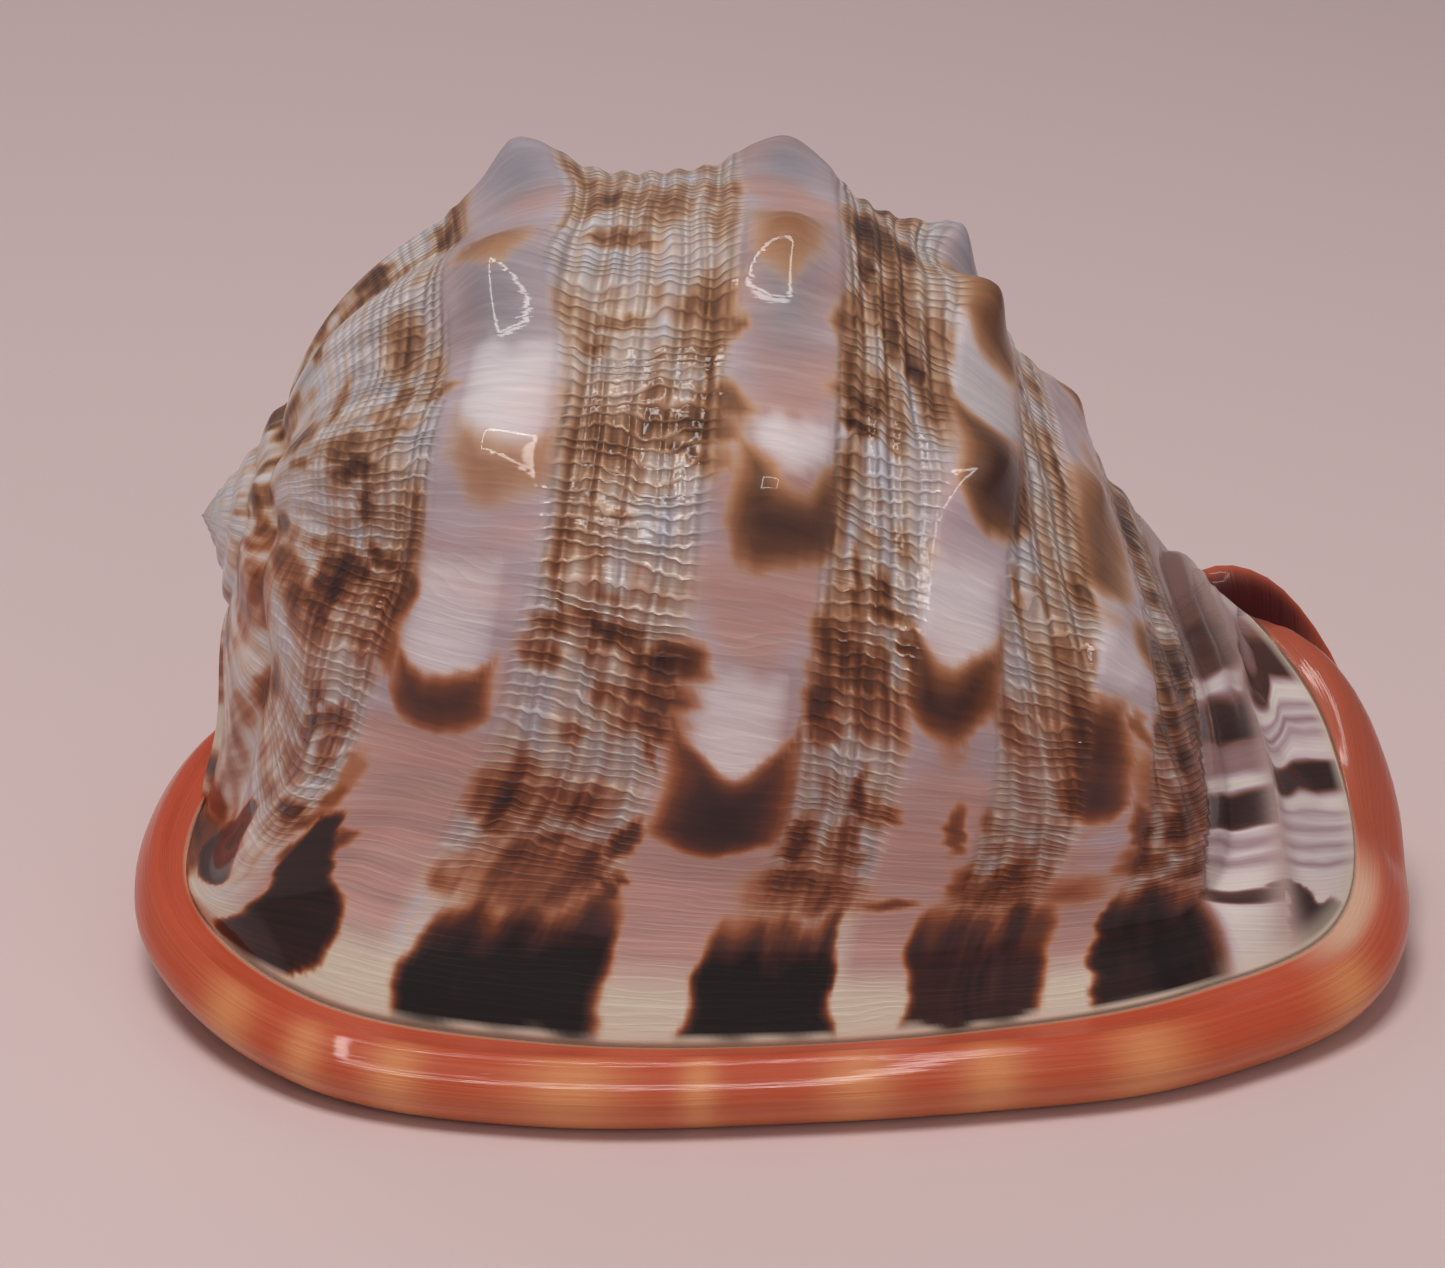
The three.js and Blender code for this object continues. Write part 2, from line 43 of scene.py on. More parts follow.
# Rows of the body skin run from the spire (t = 0) to the canal (t = 1).
# Columns run over the shell: w = -1 far crease, 0 top, 1 near crease. Millimetres.
# row t, centre x, centre z, top radius, near radius, far radius, lean in degrees
ROWS = np.array([
    [0.0, -64.6, 47.8, 0, 0, 0, 13],
    [0.03, -63.4, 48, 2.7, 2.7, 2.7, 13],
    [0.07, -61, 48, 7, 7, 7, 13],
    [0.14, -57.5, 48, 15, 15, 15, 13],
    [0.22, -53, 47.8, 24.5, 24, 24.5, 13],
    [0.3, -46.5, 47.2, 32, 33, 32.5, 13],
    [0.38, -37, 46, 37.8, 40.5, 39.5, 12],
    [0.48, -22, 44, 42.2, 45.5, 44.5, 8],
    [0.58, -6, 41.5, 44.6, 47, 45.5, 5],
    [0.68, 9, 38, 45, 46, 43.5, 1],
    [0.77, 23, 34, 42, 43, 39.5, -5],
    [0.85, 36, 30.5, 35.5, 38, 33, -12],
    [0.92, 46.5, 28, 25.5, 30.5, 24.5, -20],
    [0.97, 53, 29.5, 12.5, 17, 13, -28],
    [1.0, 54.9, 33.5, 0, 0, 0, -32],
])
# The rows shrink to a point on the crease beside the canal, this far behind the middle.
CANAL_TIP_Y = 7.7
LAST_CLOSED = 0.3
SPIRE_FOOT = np.array([
    [0.0, -64.6, 47.8],
    [0.03, -63.4, 45.3],
    [0.07, -62.8, 41],
    [0.14, -62.9, 33],
    [0.22, -63.4, 22.5],
    [0.3, -66, 12.5],
])
WIDEST = 0.55

# Crease between body and flange seen from above: angle, distance from the middle, height
CREASE = [
    [108, 49, 12],
    [135, 53, 13],
    [160, 62.5, 13],
    [180, 66, 12.5],
    [200, 68.5, 11],
    [222, 65.5, 9.5],
    [245, 56.5, 8.5],
    [270, 51, 8],
    [295, 52.5, 8],
    [318, 61, 9],
    [335, 68.2, 10.5],
    [345, 68.2, 13],
    [353, 66.4, 18],
    [361, 62.5, 26],
    [368, 55.4, 33.5],
    [376, 51.5, 27],
    [388, 50.5, 19],
    [405, 51, 14],
    [428, 50.5, 12],
    [450, 49.5, 12],
    [468, 49, 12],
]
# where the rows end on the crease: row t, near angle, far angle
ROW_ENDS = np.array([
    [0.3, 180, 540],
    [0.33, 194, 528],
    [0.38, 211, 510],
    [0.48, 233, 481],
    [0.58, 254, 460],
    [0.68, 274.5, 440],
    [0.77, 291, 423],
    [0.85, 307, 407],
    [0.92, 328, 391],
    [0.97, 346, 379],
    [1.0, 368, 368],
])
START_ANGLE = 108
OVAL_X = 75
OVAL_Y = 56

# Rounded flange around the mouth: angle, width, clearance under it, thickness
FLANGE = [
    [108, 8, 0, 10],
    [135, 9, 1.2, 10.5],
    [160, 8.5, 4, 10],
    [180, 6.7, 5.2, 8.6],
    [205, 6.3, 2.3, 8.4],
    [225, 6.4, 0.5, 8.6],
    [242, 6.4, 0, 8.8],
    [270, 6, 0, 8.8],
    [290, 6.6, 0, 8.8],
    [310, 7.2, 0, 8.6],
    [335, 6.4, 0.4, 9],
    [350, 7, 1.6, 11],
    [403, 14, 0.6, 10.5],
    [420, 10, 0, 10],
    [445, 8, 0, 10],
    [468, 8, 0, 10],
]
# Canal sector: angle, then x, y, z of top inner, top outer, outermost, bottom and foot
CANAL_FROM = 350
CANAL_TO = 403
CANAL = [
    [361, [65.2, 3.4, 28], [70.2, 2.2, 22], [73.4, -2.4, 11.5], [71.4, -9, 0.8], [65.5, -14, 0.2]],
    [366, [60.8, 7.4, 30.8], [67.4, 6.2, 24.5], [72.4, 1.2, 10.5], [70.8, -5, 1.6], [65.2, -10.8, 1.4]],
    [371, [57, 11.6, 26], [64, 10.8, 20], [69.2, 5.6, 8.5], [68.8, -0.5, 4], [64.6, -6.8, 3.6]],
    [377, [54.8, 15, 25.5], [62.6, 14.4, 20.5], [69.2, 9.6, 9], [69.4, 3, 3], [64.8, -3.6, 2.4]],
    [382, [53, 17.6, 32.8], [62.4, 17.8, 30.4], [70.6, 13.6, 17.6], [71, 7, 1.8], [64.6, -0.6, 0.6]],
    [387, [51.6, 20.4, 32.6], [61.6, 20.8, 29.6], [70.8, 16.6, 15.6], [70.6, 10.8, 1], [63.6, 2.6, 0.2]],
    [394, [47.4, 26, 21.5], [57.4, 28, 17], [68.2, 24.6, 8.5], [66.6, 19.6, 0.4], [59.5, 9.5, 0]],
]

# Mouth slot on the underside: row t, x, middle y, half width
SLOT = np.array([
    [0.3, -61, -13.5, 0.6],
    [0.33, -55, -15.5, 3],
    [0.38, -46.5, -18, 3.9],
    [0.6, -8.6, -20.5, 4.3],
    [0.8, 25.6, -19.5, 4.3],
    [0.92, 46.5, -16, 4.1],
    [0.97, 54.8, -12.4, 3.4],
    [1.0, 59.6, -9.6, 0.6],
])
FOOT_NEAR = 7
FOOT_FAR = 13
SHOULDER_WIDTH = 3.4
SHOULDER_HEIGHT = 2
SLOT_EDGE_HEIGHT = 5.4
THROAT_HEIGHT = 12
TOOTH_PITCH = 0.031
TOOTH_START = 0.33
TOOTH_END = 0.95
LIP_TOOTH = 1.1
FOLD_TOOTH = 0.6

# Chamber around the core: x, height of the core, core radius, chamber radius
CHAMBER = np.array([
    [-46, 47, 6, 21],
    [-37, 46, 9, 30],
    [-22, 44, 11, 36],
    [-6, 41.5, 11.5, 37.5],
    [9, 38, 11, 35.5],
    [23, 34, 9, 30],
    [34, 31, 6, 22],
    [40, 29.5, 4.5, 15],
])
CHAMBER_RINGS = [52, 64, 76, 89, 102, 115, 128, 141, 155, 168, 182, 195, 209, 222, 236, 249, 262]
CHAMBER_MID_X = -3
CHAMBER_SHARE = 0.68
CHAMBER_TAPER = 0.3

# Knobs: row t, column w, height, half length along the row, half width, lean to the spire
KNOBS = [
    [0.385, -0.98, 2, 9, 7, 0],
    [0.385, -0.76, 3.4, 9, 7, 0],
    [0.385, -0.54, 4.6, 9, 7.5, 0.6],
    [0.385, -0.32, 5.8, 9.5, 8, 1.2],
    [0.405, -0.1, 5.8, 9, 8.5, 0.8],
    [0.398, 0.15, 4.8, 10.5, 9, 0.6],
    [0.412, 0.335, 3.6, 11, 9.5, 0],
    [0.4, 0.56, 1.3, 9, 8, 0],
    [0.61, -0.95, 1.4, 8, 6.5, 0],
    [0.61, -0.74, 2.6, 8, 6.5, 0],
    [0.61, -0.52, 3.8, 8, 7, 0],
    [0.61, -0.3, 4.8, 8.5, 7.5, 0],
    [0.606, -0.095, 4, 10, 9, 0],
    [0.606, 0.13, 5, 9.5, 9, 0],
    [0.602, 0.355, 6.4, 9.5, 9, 0],
    [0.59, 0.61, 1.4, 9, 8, 0],
    [0.77, -0.66, 1.2, 7, 5.5, 0],
    [0.77, -0.46, 2, 7, 5.5, 0],
    [0.775, -0.26, 2.8, 7, 6, 0],
    [0.76, -0.085, 4, 7.5, 7, 0],
    [0.78, 0.07, 4.4, 8, 7, 0],
    [0.77, 0.275, 3.6, 8.5, 7, 0],
    [0.742, 0.5, 1, 7, 6, 0],
    [0.885, -0.3, 1, 6, 5, 0],
    [0.885, -0.09, 1.7, 6, 5, 0],
    [0.885, 0.16, 1.3, 6, 5, 0],
    [0.87, 0.36, 1, 6, 5, 0],
]
KNOB_POINT = 0.22
KNOB_REACH = 32

# Raised smooth bands under the knob rows: middle of the band per column w, half width in t
BAND_COLUMNS = [-1, -0.1, 0.12, 0.35, 0.57, 1]
BANDS = [
    [[0.39, 0.387, 0.388, 0.412, 0.4, 0.41], 0.048],
    [[0.605, 0.611, 0.614, 0.604, 0.591, 0.585], 0.047],
    [[0.77, 0.785, 0.793, 0.758, 0.732, 0.73], 0.033],
    [[0.885, 0.887, 0.887, 0.882, 0.846, 0.835], 0.026],
]
BAND_HEIGHT = 0.8

# Cords of the beaded zones between the bands
CORDS_PER_ROW = 48
CORD_HEIGHT = 0.2
BEADS_PER_COLUMN = 30
BEAD_HEIGHT = 0.14

# Spire: sutures follow a spiral that shrinks by this factor with every turn.
SUTURE_RADIUS = 17.5
SUTURE_GROWTH = 1.6
SUTURE_TURNS = 6
SUTURE_DEPTH = 0.085
SUTURE_SWING = 0.66
FOLDS_PER_TURN = 9
FOLD_HEIGHT = 1
FOLD_COLUMN = 0.115
TIP_HEIGHT = 0.15

# Ridge that borders the canal end of the body
RIDGE_ROWS = np.array([
    [-1, 0.955],
    [0, 0.984],
    [0.37, 0.986],
    [0.53, 0.982],
    [0.6, 0.97],
    [0.7, 0.953],
    [0.8, 0.937],
    [0.9, 0.926],
    [1, 0.922],
])
RIDGE_HEIGHT = 0.9
RIDGE_WIDTH = 0.009

# Fineness of the mesh
SPIRE_STEPS = 70
OPEN_STEPS = 230
COLUMN_STEPS = 236
PROFILE_PARTS = 42


def between(p, q, a, b, u):
    """Smooth curve from p to q with the slopes a and b, at the share u of the way."""
    return p + u * a + u ** 2 * (3 * (q - p) - 2 * a - b) + u ** 3 * (2 * (p - q) + a + b)


def curve(table, k, at):
    """Smooth curve through the rows of a table: column 0 is the place, column k the value."""
    table = np.asarray(table, float)
    places = table[:, 0]
    values = table[:, k]
    gaps = np.diff(places)
    rises = np.diff(values) / gaps
    slopes = np.empty_like(values)
    slopes[0] = rises[0]
    slopes[-1] = rises[-1]
    slopes[1:-1] = (rises[:-1] * gaps[1:] + rises[1:] * gaps[:-1]) / (gaps[1:] + gaps[:-1])
    at = np.clip(np.asarray(at, float), places[0], places[-1])
    i = np.clip(np.searchsorted(places, at, side="right") - 1, 0, len(places) - 2)
    u = (at - places[i]) / gaps[i]
    a = slopes[i] * gaps[i]
    b = slopes[i + 1] * gaps[i]
    return between(values[i], values[i + 1], a, b, u)


def ease(low, high, x):
    u = np.clip((np.asarray(x, float) - low) / (high - low), 0, 1)
    return u * u * (3 - 2 * u)


def unit(v):
    return v / np.maximum(np.linalg.norm(v, axis=-1, keepdims=True), 1e-9)


def closed(table):
    """Copies the ends of an angle table once around, so that the curve closes smoothly."""
    before = [[row[0] - 360, *row[1:]] for row in table[-4:-1]]
    after = [[row[0] + 360, *row[1:]] for row in table[1:4]]
    return np.array([*before, *table, *after], float)


CREASE_LOOP = closed(CREASE)
FLANGE_LOOP = closed(FLANGE)


def turned(angle):
    return np.mod(np.asarray(angle, float) - START_ANGLE, 360) + START_ANGLE


def crease_point(angle):
    a = turned(angle)
    r = curve(CREASE_LOOP, 1, a)
    return np.stack([r * np.cos(np.radians(a)), r * np.sin(np.radians(a)), curve(CREASE_LOOP, 2, a)], -1)


def outward(points):
    flat = np.stack([points[..., 0] / OVAL_X ** 2, points[..., 1] / OVAL_Y ** 2, 0 * points[..., 0]], -1)
    return unit(flat)


def row_angle(t, near):
    return np.where(near, curve(ROW_ENDS, 1, t), curve(ROW_ENDS, 2, t))


def row_end(t, near):
    """Where a row meets the crease, or closes under the spire."""
    foot = np.stack([
        curve(SPIRE_FOOT, 1, t),
        crease_point(180.0)[1] * ease(0, LAST_CLOSED, t),
        curve(SPIRE_FOOT, 2, t),
    ], -1)
    return np.where((t >= LAST_CLOSED)[..., None], crease_point(row_angle(t, near)), foot)


def body_point(t, w):
    """Smooth form of the body without knobs and folds."""
    t, w = np.broadcast_arrays(np.asarray(t, float), np.asarray(w, float))
    near = w > 0
    a = np.abs(w)
    lean = np.radians(curve(ROWS, 6, t))
    side = np.where(near, -curve(ROWS, 4, t), curve(ROWS, 5, t))
    zero = np.zeros_like(t)
    up = np.stack([np.sin(lean), zero, np.cos(lean)], -1)
    centre = np.stack([curve(ROWS, 1, t), CANAL_TIP_Y * ease(0.9, 1, t), curve(ROWS, 2, t)], -1)
    across = np.stack([zero, side, zero], -1)
    turn = np.clip(a / WIDEST, 0, 1) * math.pi / 2
    rise = (curve(ROWS, 3, t) * np.cos(turn))[..., None]
    upper = centre + up * rise + across * np.sin(turn)[..., None]
    start = centre + across
    end = row_end(t, near)
    v = np.clip((a - WIDEST) / (1 - WIDEST), 0, 1)[..., None]
    drop = np.linalg.norm(start - end, axis=-1)
    open_ = ease(LAST_CLOSED, LAST_CLOSED + 0.12, t)
    fall = np.abs(centre[..., 2] - end[..., 2])
    pull = 0.45 * np.minimum(drop, fall * 1.2 + 0.2 * drop)
    first = start - up * pull[..., None]
    second = end + outward(end) * (-5 * open_)[..., None]
    second[..., 1] += np.where(near, -1, 1) * np.abs(side) * 0.55 * (1 - open_)
    second[..., 2] += open_ * 0.4 * np.abs(start[..., 2] - end[..., 2])
    lower = (1 - v) ** 3 * start + 3 * v * (1 - v) ** 2 * first
    lower = lower + 3 * v * v * (1 - v) * second + v ** 3 * end
    return np.where((a < WIDEST)[..., None], upper, lower)


def body_frame(t, w):
    """Directions along the row, across the rows and straight out of the skin."""
    t, w = np.broadcast_arrays(np.asarray(t, float), np.asarray(w, float))
    step = 0.004
    before = body_point(np.maximum(t - step, 0.002), w)
    across = unit(body_point(np.minimum(t + step, 0.998), w) - before)
    along = unit(body_point(t, np.minimum(w + step, 1)) - body_point(t, np.maximum(w - step, -1)))
    return along, across, unit(np.cross(along, across))


def knob_lift(points):
    """Knobs push the skin out, round at the foot and blunt at the tip."""
    lift = np.zeros_like(points)
    for t, w, height, length, width, lean in KNOBS:
        along, across, out = body_frame(t, w)
        d = points - body_point(t, w)
        q = (d @ along / length) ** 2 + (d @ across / width) ** 2
        round_ = np.exp(-2.2 * q)
        pointed = np.exp(-2.2 * (np.sqrt(q + 0.03) - math.sqrt(0.03)) - 0.8 * q)
        form = (1 - KNOB_POINT) * round_ + KNOB_POINT * pointed
        form = np.where(np.linalg.norm(d, axis=-1) > KNOB_REACH, 0, form)[..., None]
        lift += form * (height * out - lean * across)
    return lift


def band_offsets(t, w):
    """Distance from the middle of each band, in half widths."""
    for middle, half in BANDS:
        table = np.array([BAND_COLUMNS, middle]).T
        yield np.abs(t - curve(table, 1, w)) / half


def band_share(t, w):
    """1 on the smooth bands, 0 in the beaded zones between them."""
    share = 0 * t
    for off in band_offsets(t, w):
        share = np.maximum(share, 1 - ease(0.75, 1.15, off))
    return share


def band_lift(t, w):
    lift = 0 * t
    for off in band_offsets(t, w):
        lift = lift + BAND_HEIGHT * (1 - ease(0.7, 1.35, off))
    return lift * (1 - ease(0.55, 0.9, np.abs(w)))


def cord_lift(t, w):
    """Cords along the beaded zones, with beads on them."""
    zone = (1 - band_share(t, w)) * (1 - canal_share(t, w))
    zone = zone * ease(0.3, 0.36, t) * (1 - ease(0.66, 0.84, np.abs(w)))
    cord = np.cos(2 * math.pi * CORDS_PER_ROW * t)
    bead = np.cos(2 * math.pi * BEADS_PER_COLUMN * w)
    return zone * (CORD_HEIGHT * cord + BEAD_HEIGHT * bead * (1 + cord) / 2)


def suture_lift(t, w):
    """Sutures of the earlier turns: steep towards the tip, flat on the outer side."""
    r = np.maximum(curve(ROWS, 3, t), 0.4)
    lift = 0 * t
    for k in range(SUTURE_TURNS):
        radius = SUTURE_RADIUS * SUTURE_GROWTH ** ((w - 1) / 2 - k)
        depth = SUTURE_DEPTH
        if k == 0:
            radius = radius * np.exp(SUTURE_SWING * ease(0.35, 1, w))
            depth = depth * (1 - ease(0.8, 1, w))
        s = np.log(r / radius)
        wall = np.where(s < 0, np.exp(-((s / 0.1) ** 2)), np.exp(-np.maximum(s, 0) / 0.2))
        lift = lift - depth * np.minimum(radius, r) * wall
    return lift


def fold_lift(t, w):
    zone = ease(0.05, 0.2, t) * (1 - ease(0.33, 0.4, t))
    wave = np.cos(FOLDS_PER_TURN * math.pi * (w - FOLD_COLUMN))
    return FOLD_HEIGHT * zone * wave * (1 - ease(0.5, 0.9, w))


def ridge_lift(t, w):
    off = (t - curve(RIDGE_ROWS, 1, w)) / RIDGE_WIDTH
    return RIDGE_HEIGHT * np.exp(-off * off) * ease(0, 0.06, 1.02 - t)


def skin_point(t, w):
    """The finished outer skin: smooth body with bands, sutures, folds and knobs."""
    point = body_point(t, w)
    fade = (1 - ease(0.86, 1, np.abs(w)) * ease(0.28, 0.34, t)) * (1 - ease(0.985, 1, t))
    out = body_frame(t, w)[2]
    lift = band_lift(t, w) + suture_lift(t, w) + fold_lift(t, w)
    lift = lift + ridge_lift(t, w) + cord_lift(t, w)
    return point + out * (lift * fade)[..., None] + knob_lift(point) * fade[..., None]


def flange_points(angle, near):
    """Flange profile away from the canal: top inner, top outer, outermost, bottom, foot."""
    a = turned(angle)
    crease = crease_point(a)
    out = outward(crease)
    half = curve(FLANGE_LOOP, 3, a) / 2
    low = np.maximum(curve(FLANGE_LOOP, 2, a), 0)
    edge = crease + out * (curve(FLANGE_LOOP, 1, a) - 0.8 * half)[..., None]
    edge[..., 2] = low + half

    def at(reach, height):
        point = edge + out * reach[..., None]
        point[..., 2] = edge[..., 2] + height
        return point

    top = at(0.25 * half, 0.92 * half)
    foot = at(-np.where(near, FOOT_NEAR, FOOT_FAR) + 0 * half, -half)
    foot[..., 2] = 0.8 * low
    return [(crease + top) / 2, top, at(0.8 * half, 0 * half), at(0 * half, -half), foot]


def canal_table(k):
    """One profile point along the canal sector, tied to the flange at both ends."""
    start = flange_points(np.array(CANAL_FROM), np.array(True))[k]
    end = flange_points(np.array(CANAL_TO), np.array(False))[k]
    inner = [[row[0], *row[k + 1]] for row in CANAL]
    return np.array([[CANAL_FROM, *start], *inner, [CANAL_TO, *end]])


def profile_points(angle, near):
    a = turned(angle)
    inside = ((a > CANAL_FROM) & (a < CANAL_TO))[..., None]
    points = flange_points(a, near)
    for k in range(5):
        table = canal_table(k)
        canal = np.stack([curve(table, axis, a) for axis in (1, 2, 3)], -1)
        points[k] = np.where(inside, canal, points[k])
    return points


def tooth_wave(t):
    """Teeth of the lip and folds of the core side: 1 on a tooth, -1 between two."""
    zone = ease(TOOTH_START, TOOTH_START + 0.03, t) * (1 - ease(TOOTH_END - 0.03, TOOTH_END, t))
    return zone * np.cos(2 * math.pi * (t - TOOTH_START) / TOOTH_PITCH)


def slot_points(t, near):
    """Profile points 6 to 8: shoulder of the slot, slot edge and throat."""
    x = curve(SLOT, 1, t)
    y = curve(SLOT, 2, t)
    half = curve(SLOT, 3, t)
    side = np.where(near, -1, 1)
    width = 1 - 0.6 * (1 - ease(0.3, 0.36, t)) - 0.6 * ease(0.94, 1, t)
    shift = np.where(t < 0.5, -2.5, 3.5) * (1 - width)
    height = SHOULDER_HEIGHT + 2.2 * ease(0.97, 1, t)
    shoulder = np.stack([x + shift, y + side * (half + SHOULDER_WIDTH * width), height], -1)
    edge = np.stack([x, y + side * half, SLOT_EDGE_HEIGHT + 0 * x], -1)
    throat = np.stack([x * 0.97, y + side * (half + 0.8), THROAT_HEIGHT + 0 * x], -1)
    return [shoulder, edge, throat]


def profile_point(t, near, step):
    """Point on the mouth profile of a row end: 0 is the crease, 8 the throat."""
    angle = row_angle(t, near)
    points = np.array([crease_point(angle), *profile_points(angle, near), *slot_points(t, near)])
    count = len(points)
    slopes = np.empty_like(points)
    slopes[0] = points[1] - points[0]
    slopes[-1] = points[-1] - points[-2]
    slopes[1:-1] = (points[2:] - points[:-2]) / 2
    i = int(min(step, count - 2))
    u = step - i
    point = between(points[i], points[i + 1], slopes[i], slopes[i + 1], u)
    if 3 < step <= 5:
        lowest = points[4][..., 2] * (5 - step) + points[5][..., 2] * (step - 4)
        point[..., 2] = np.maximum(np.maximum(point[..., 2], lowest), 0)
    tooth = tooth_wave(t) * np.where(near, LIP_TOOTH, FOLD_TOOTH)
    reach = np.where(near, ease(5.2, 5.6, step), ease(5.5, 5.9, step))
    point[..., 2] -= tooth * reach * (1 - ease(6, 7, step))
    point[..., 1] += np.where(near, 1, -1) * tooth * ease(6, 6.6, step) * (1 - ease(7, 8, step))
    if step > 5:
        point[..., 2] = np.maximum(point[..., 2], 0)
    return point


def chamber_point(t, near, angle):
    """One ring of the chamber: near row ends lie outside, far row ends at the core."""
    back = (angle - CHAMBER_RINGS[0]) / (CHAMBER_RINGS[-1] - CHAMBER_RINGS[0])
    x = CHAMBER_MID_X + curve(SLOT, 1, t) * CHAMBER_SHARE * (1 - CHAMBER_TAPER * back)
    s = curve(SLOT, 1, t) / 61
    gap = np.sqrt(np.maximum(1 - np.abs(s) ** 4, 0))
    core = curve(CHAMBER, 2, x)
    outer = curve(CHAMBER, 3, x) * (1 - 0.08 * back)
    radius = (core + outer) / 2 + np.where(near, 1, -1) * gap * (outer - core) / 2
    a = math.radians(angle)
    return np.stack([x, -radius * math.sin(a), curve(CHAMBER, 1, x) - radius * math.cos(a)], -1)


def row_places():
    spire = LAST_CLOSED * (np.arange(1, SPIRE_STEPS + 1) / SPIRE_STEPS) ** 1.1
    u = np.arange(1, OPEN_STEPS + 1) / OPEN_STEPS
    rest = LAST_CLOSED + (1 - LAST_CLOSED) * (u + 0.12 * np.sin(math.pi * u) * u)
    return np.concatenate([[0.0], spire, rest[:-1], [1.0]])


def column_places():
    return np.linspace(-1, 1, COLUMN_STEPS + 1)


# Markings on the body. Brown tongues run down the smooth bands between the knobs:
# t and w of the upper end, t and w of the lower end, half width in t, notch of the upper end, depth
TONGUES = [
    [0.386, 0.09, 0.392, 0.17, 0.038, -0.02, 0.5],
    [0.4, -0.17, 0.4, -0.115, 0.026, 0.02, 0.3],
    [0.424, 0.29, 0.415, 0.395, 0.044, 0.035, 0.42],
    [0.4, 0.5, 0.404, 0.605, 0.038, 0.045, 1],
    [0.604, 0.085, 0.608, 0.175, 0.034, -0.02, 0.5],
    [0.606, -0.17, 0.606, -0.115, 0.028, 0.01, 0.3],
    [0.62, 0.295, 0.61, 0.425, 0.046, 0.05, 0.86],
    [0.594, 0.49, 0.588, 0.71, 0.044, 0.095, 1],
    [0.765, -0.16, 0.768, -0.09, 0.026, 0, 0.5],
    [0.786, -0.02, 0.796, 0.14, 0.038, 0, 0.66],
    [0.784, 0.195, 0.773, 0.335, 0.04, 0.03, 0.92],
    [0.746, 0.395, 0.735, 0.515, 0.038, 0.055, 1],
    [0.735, 0.505, 0.734, 0.54, 0.02, 0, 0.42],
    [0.885, -0.17, 0.888, -0.05, 0.024, 0, 0.7],
    [0.915, 0.04, 0.866, 0.335, 0.028, 0, 0.62],
    [0.866, 0.33, 0.862, 0.375, 0.018, 0, 0.34],
    [0.85, 0.425, 0.828, 0.6, 0.028, 0.015, 0.92],
    [0.828, 0.595, 0.826, 0.635, 0.016, 0, 0.36],
    [0.826, 0.7, 0.83, 0.785, 0.022, 0, 0.55],
]
# the same kind of tongues on the far side, one set per knob row and place
FAR_ROWS = [[0.387, 0.036], [0.61, 0.04], [0.776, 0.034], [0.886, 0.027]]
FAR_PLACES = [-0.28, -0.42, -0.6, -0.77]
# Pale patches, white or pinkish, in the same terms as the tongues
PALE_PATCHES = [
    [0.415, 0.235, 0.42, 0.35, 0.034, 0, 0.8],
    [0.402, 0.43, 0.4, 0.565, 0.03, 0, 0.6],
    [0.617, 0.29, 0.615, 0.345, 0.03, 0, 0.9],
    [0.594, 0.49, 0.59, 0.605, 0.03, 0, 0.85],
    [0.788, 0.1, 0.78, 0.24, 0.034, 0, 0.55],
    [0.748, 0.36, 0.742, 0.46, 0.03, 0, 0.8],
    [0.87, 0.36, 0.86, 0.43, 0.026, 0, 0.6],
]

# Dark patches along the lip: t of both sides, w where they begin and end, depth
LIP_PATCHES = [
    [0.462, 0.562, 0.77, 1.1, 1],
    [0.606, 0.69, 0.78, 1.1, 1],
    [0.738, 0.828, 0.74, 1.1, 0.82],
    [0.85, 0.913, 0.7, 1.1, 0.9],
]
# the same where they bend: rounds that flow together, with t, w, half length in t and in w
HOOKS = np.array([
    [0.298, 0.8, 0.014, 0.05],
    [0.315, 0.865, 0.02, 0.055],
    [0.372, 0.765, 0.011, 0.05],
    [0.384, 0.83, 0.015, 0.055],
    [0.4, 0.905, 0.024, 0.055],
    [0.386, 0.968, 0.026, 0.03],
    [0.93, 0.89, 0.005, 0.06],
    [0.934, 0.94, 0.008, 0.045],
    [0.941, 0.98, 0.012, 0.025],
])
HOOK_DEPTH = 0.88

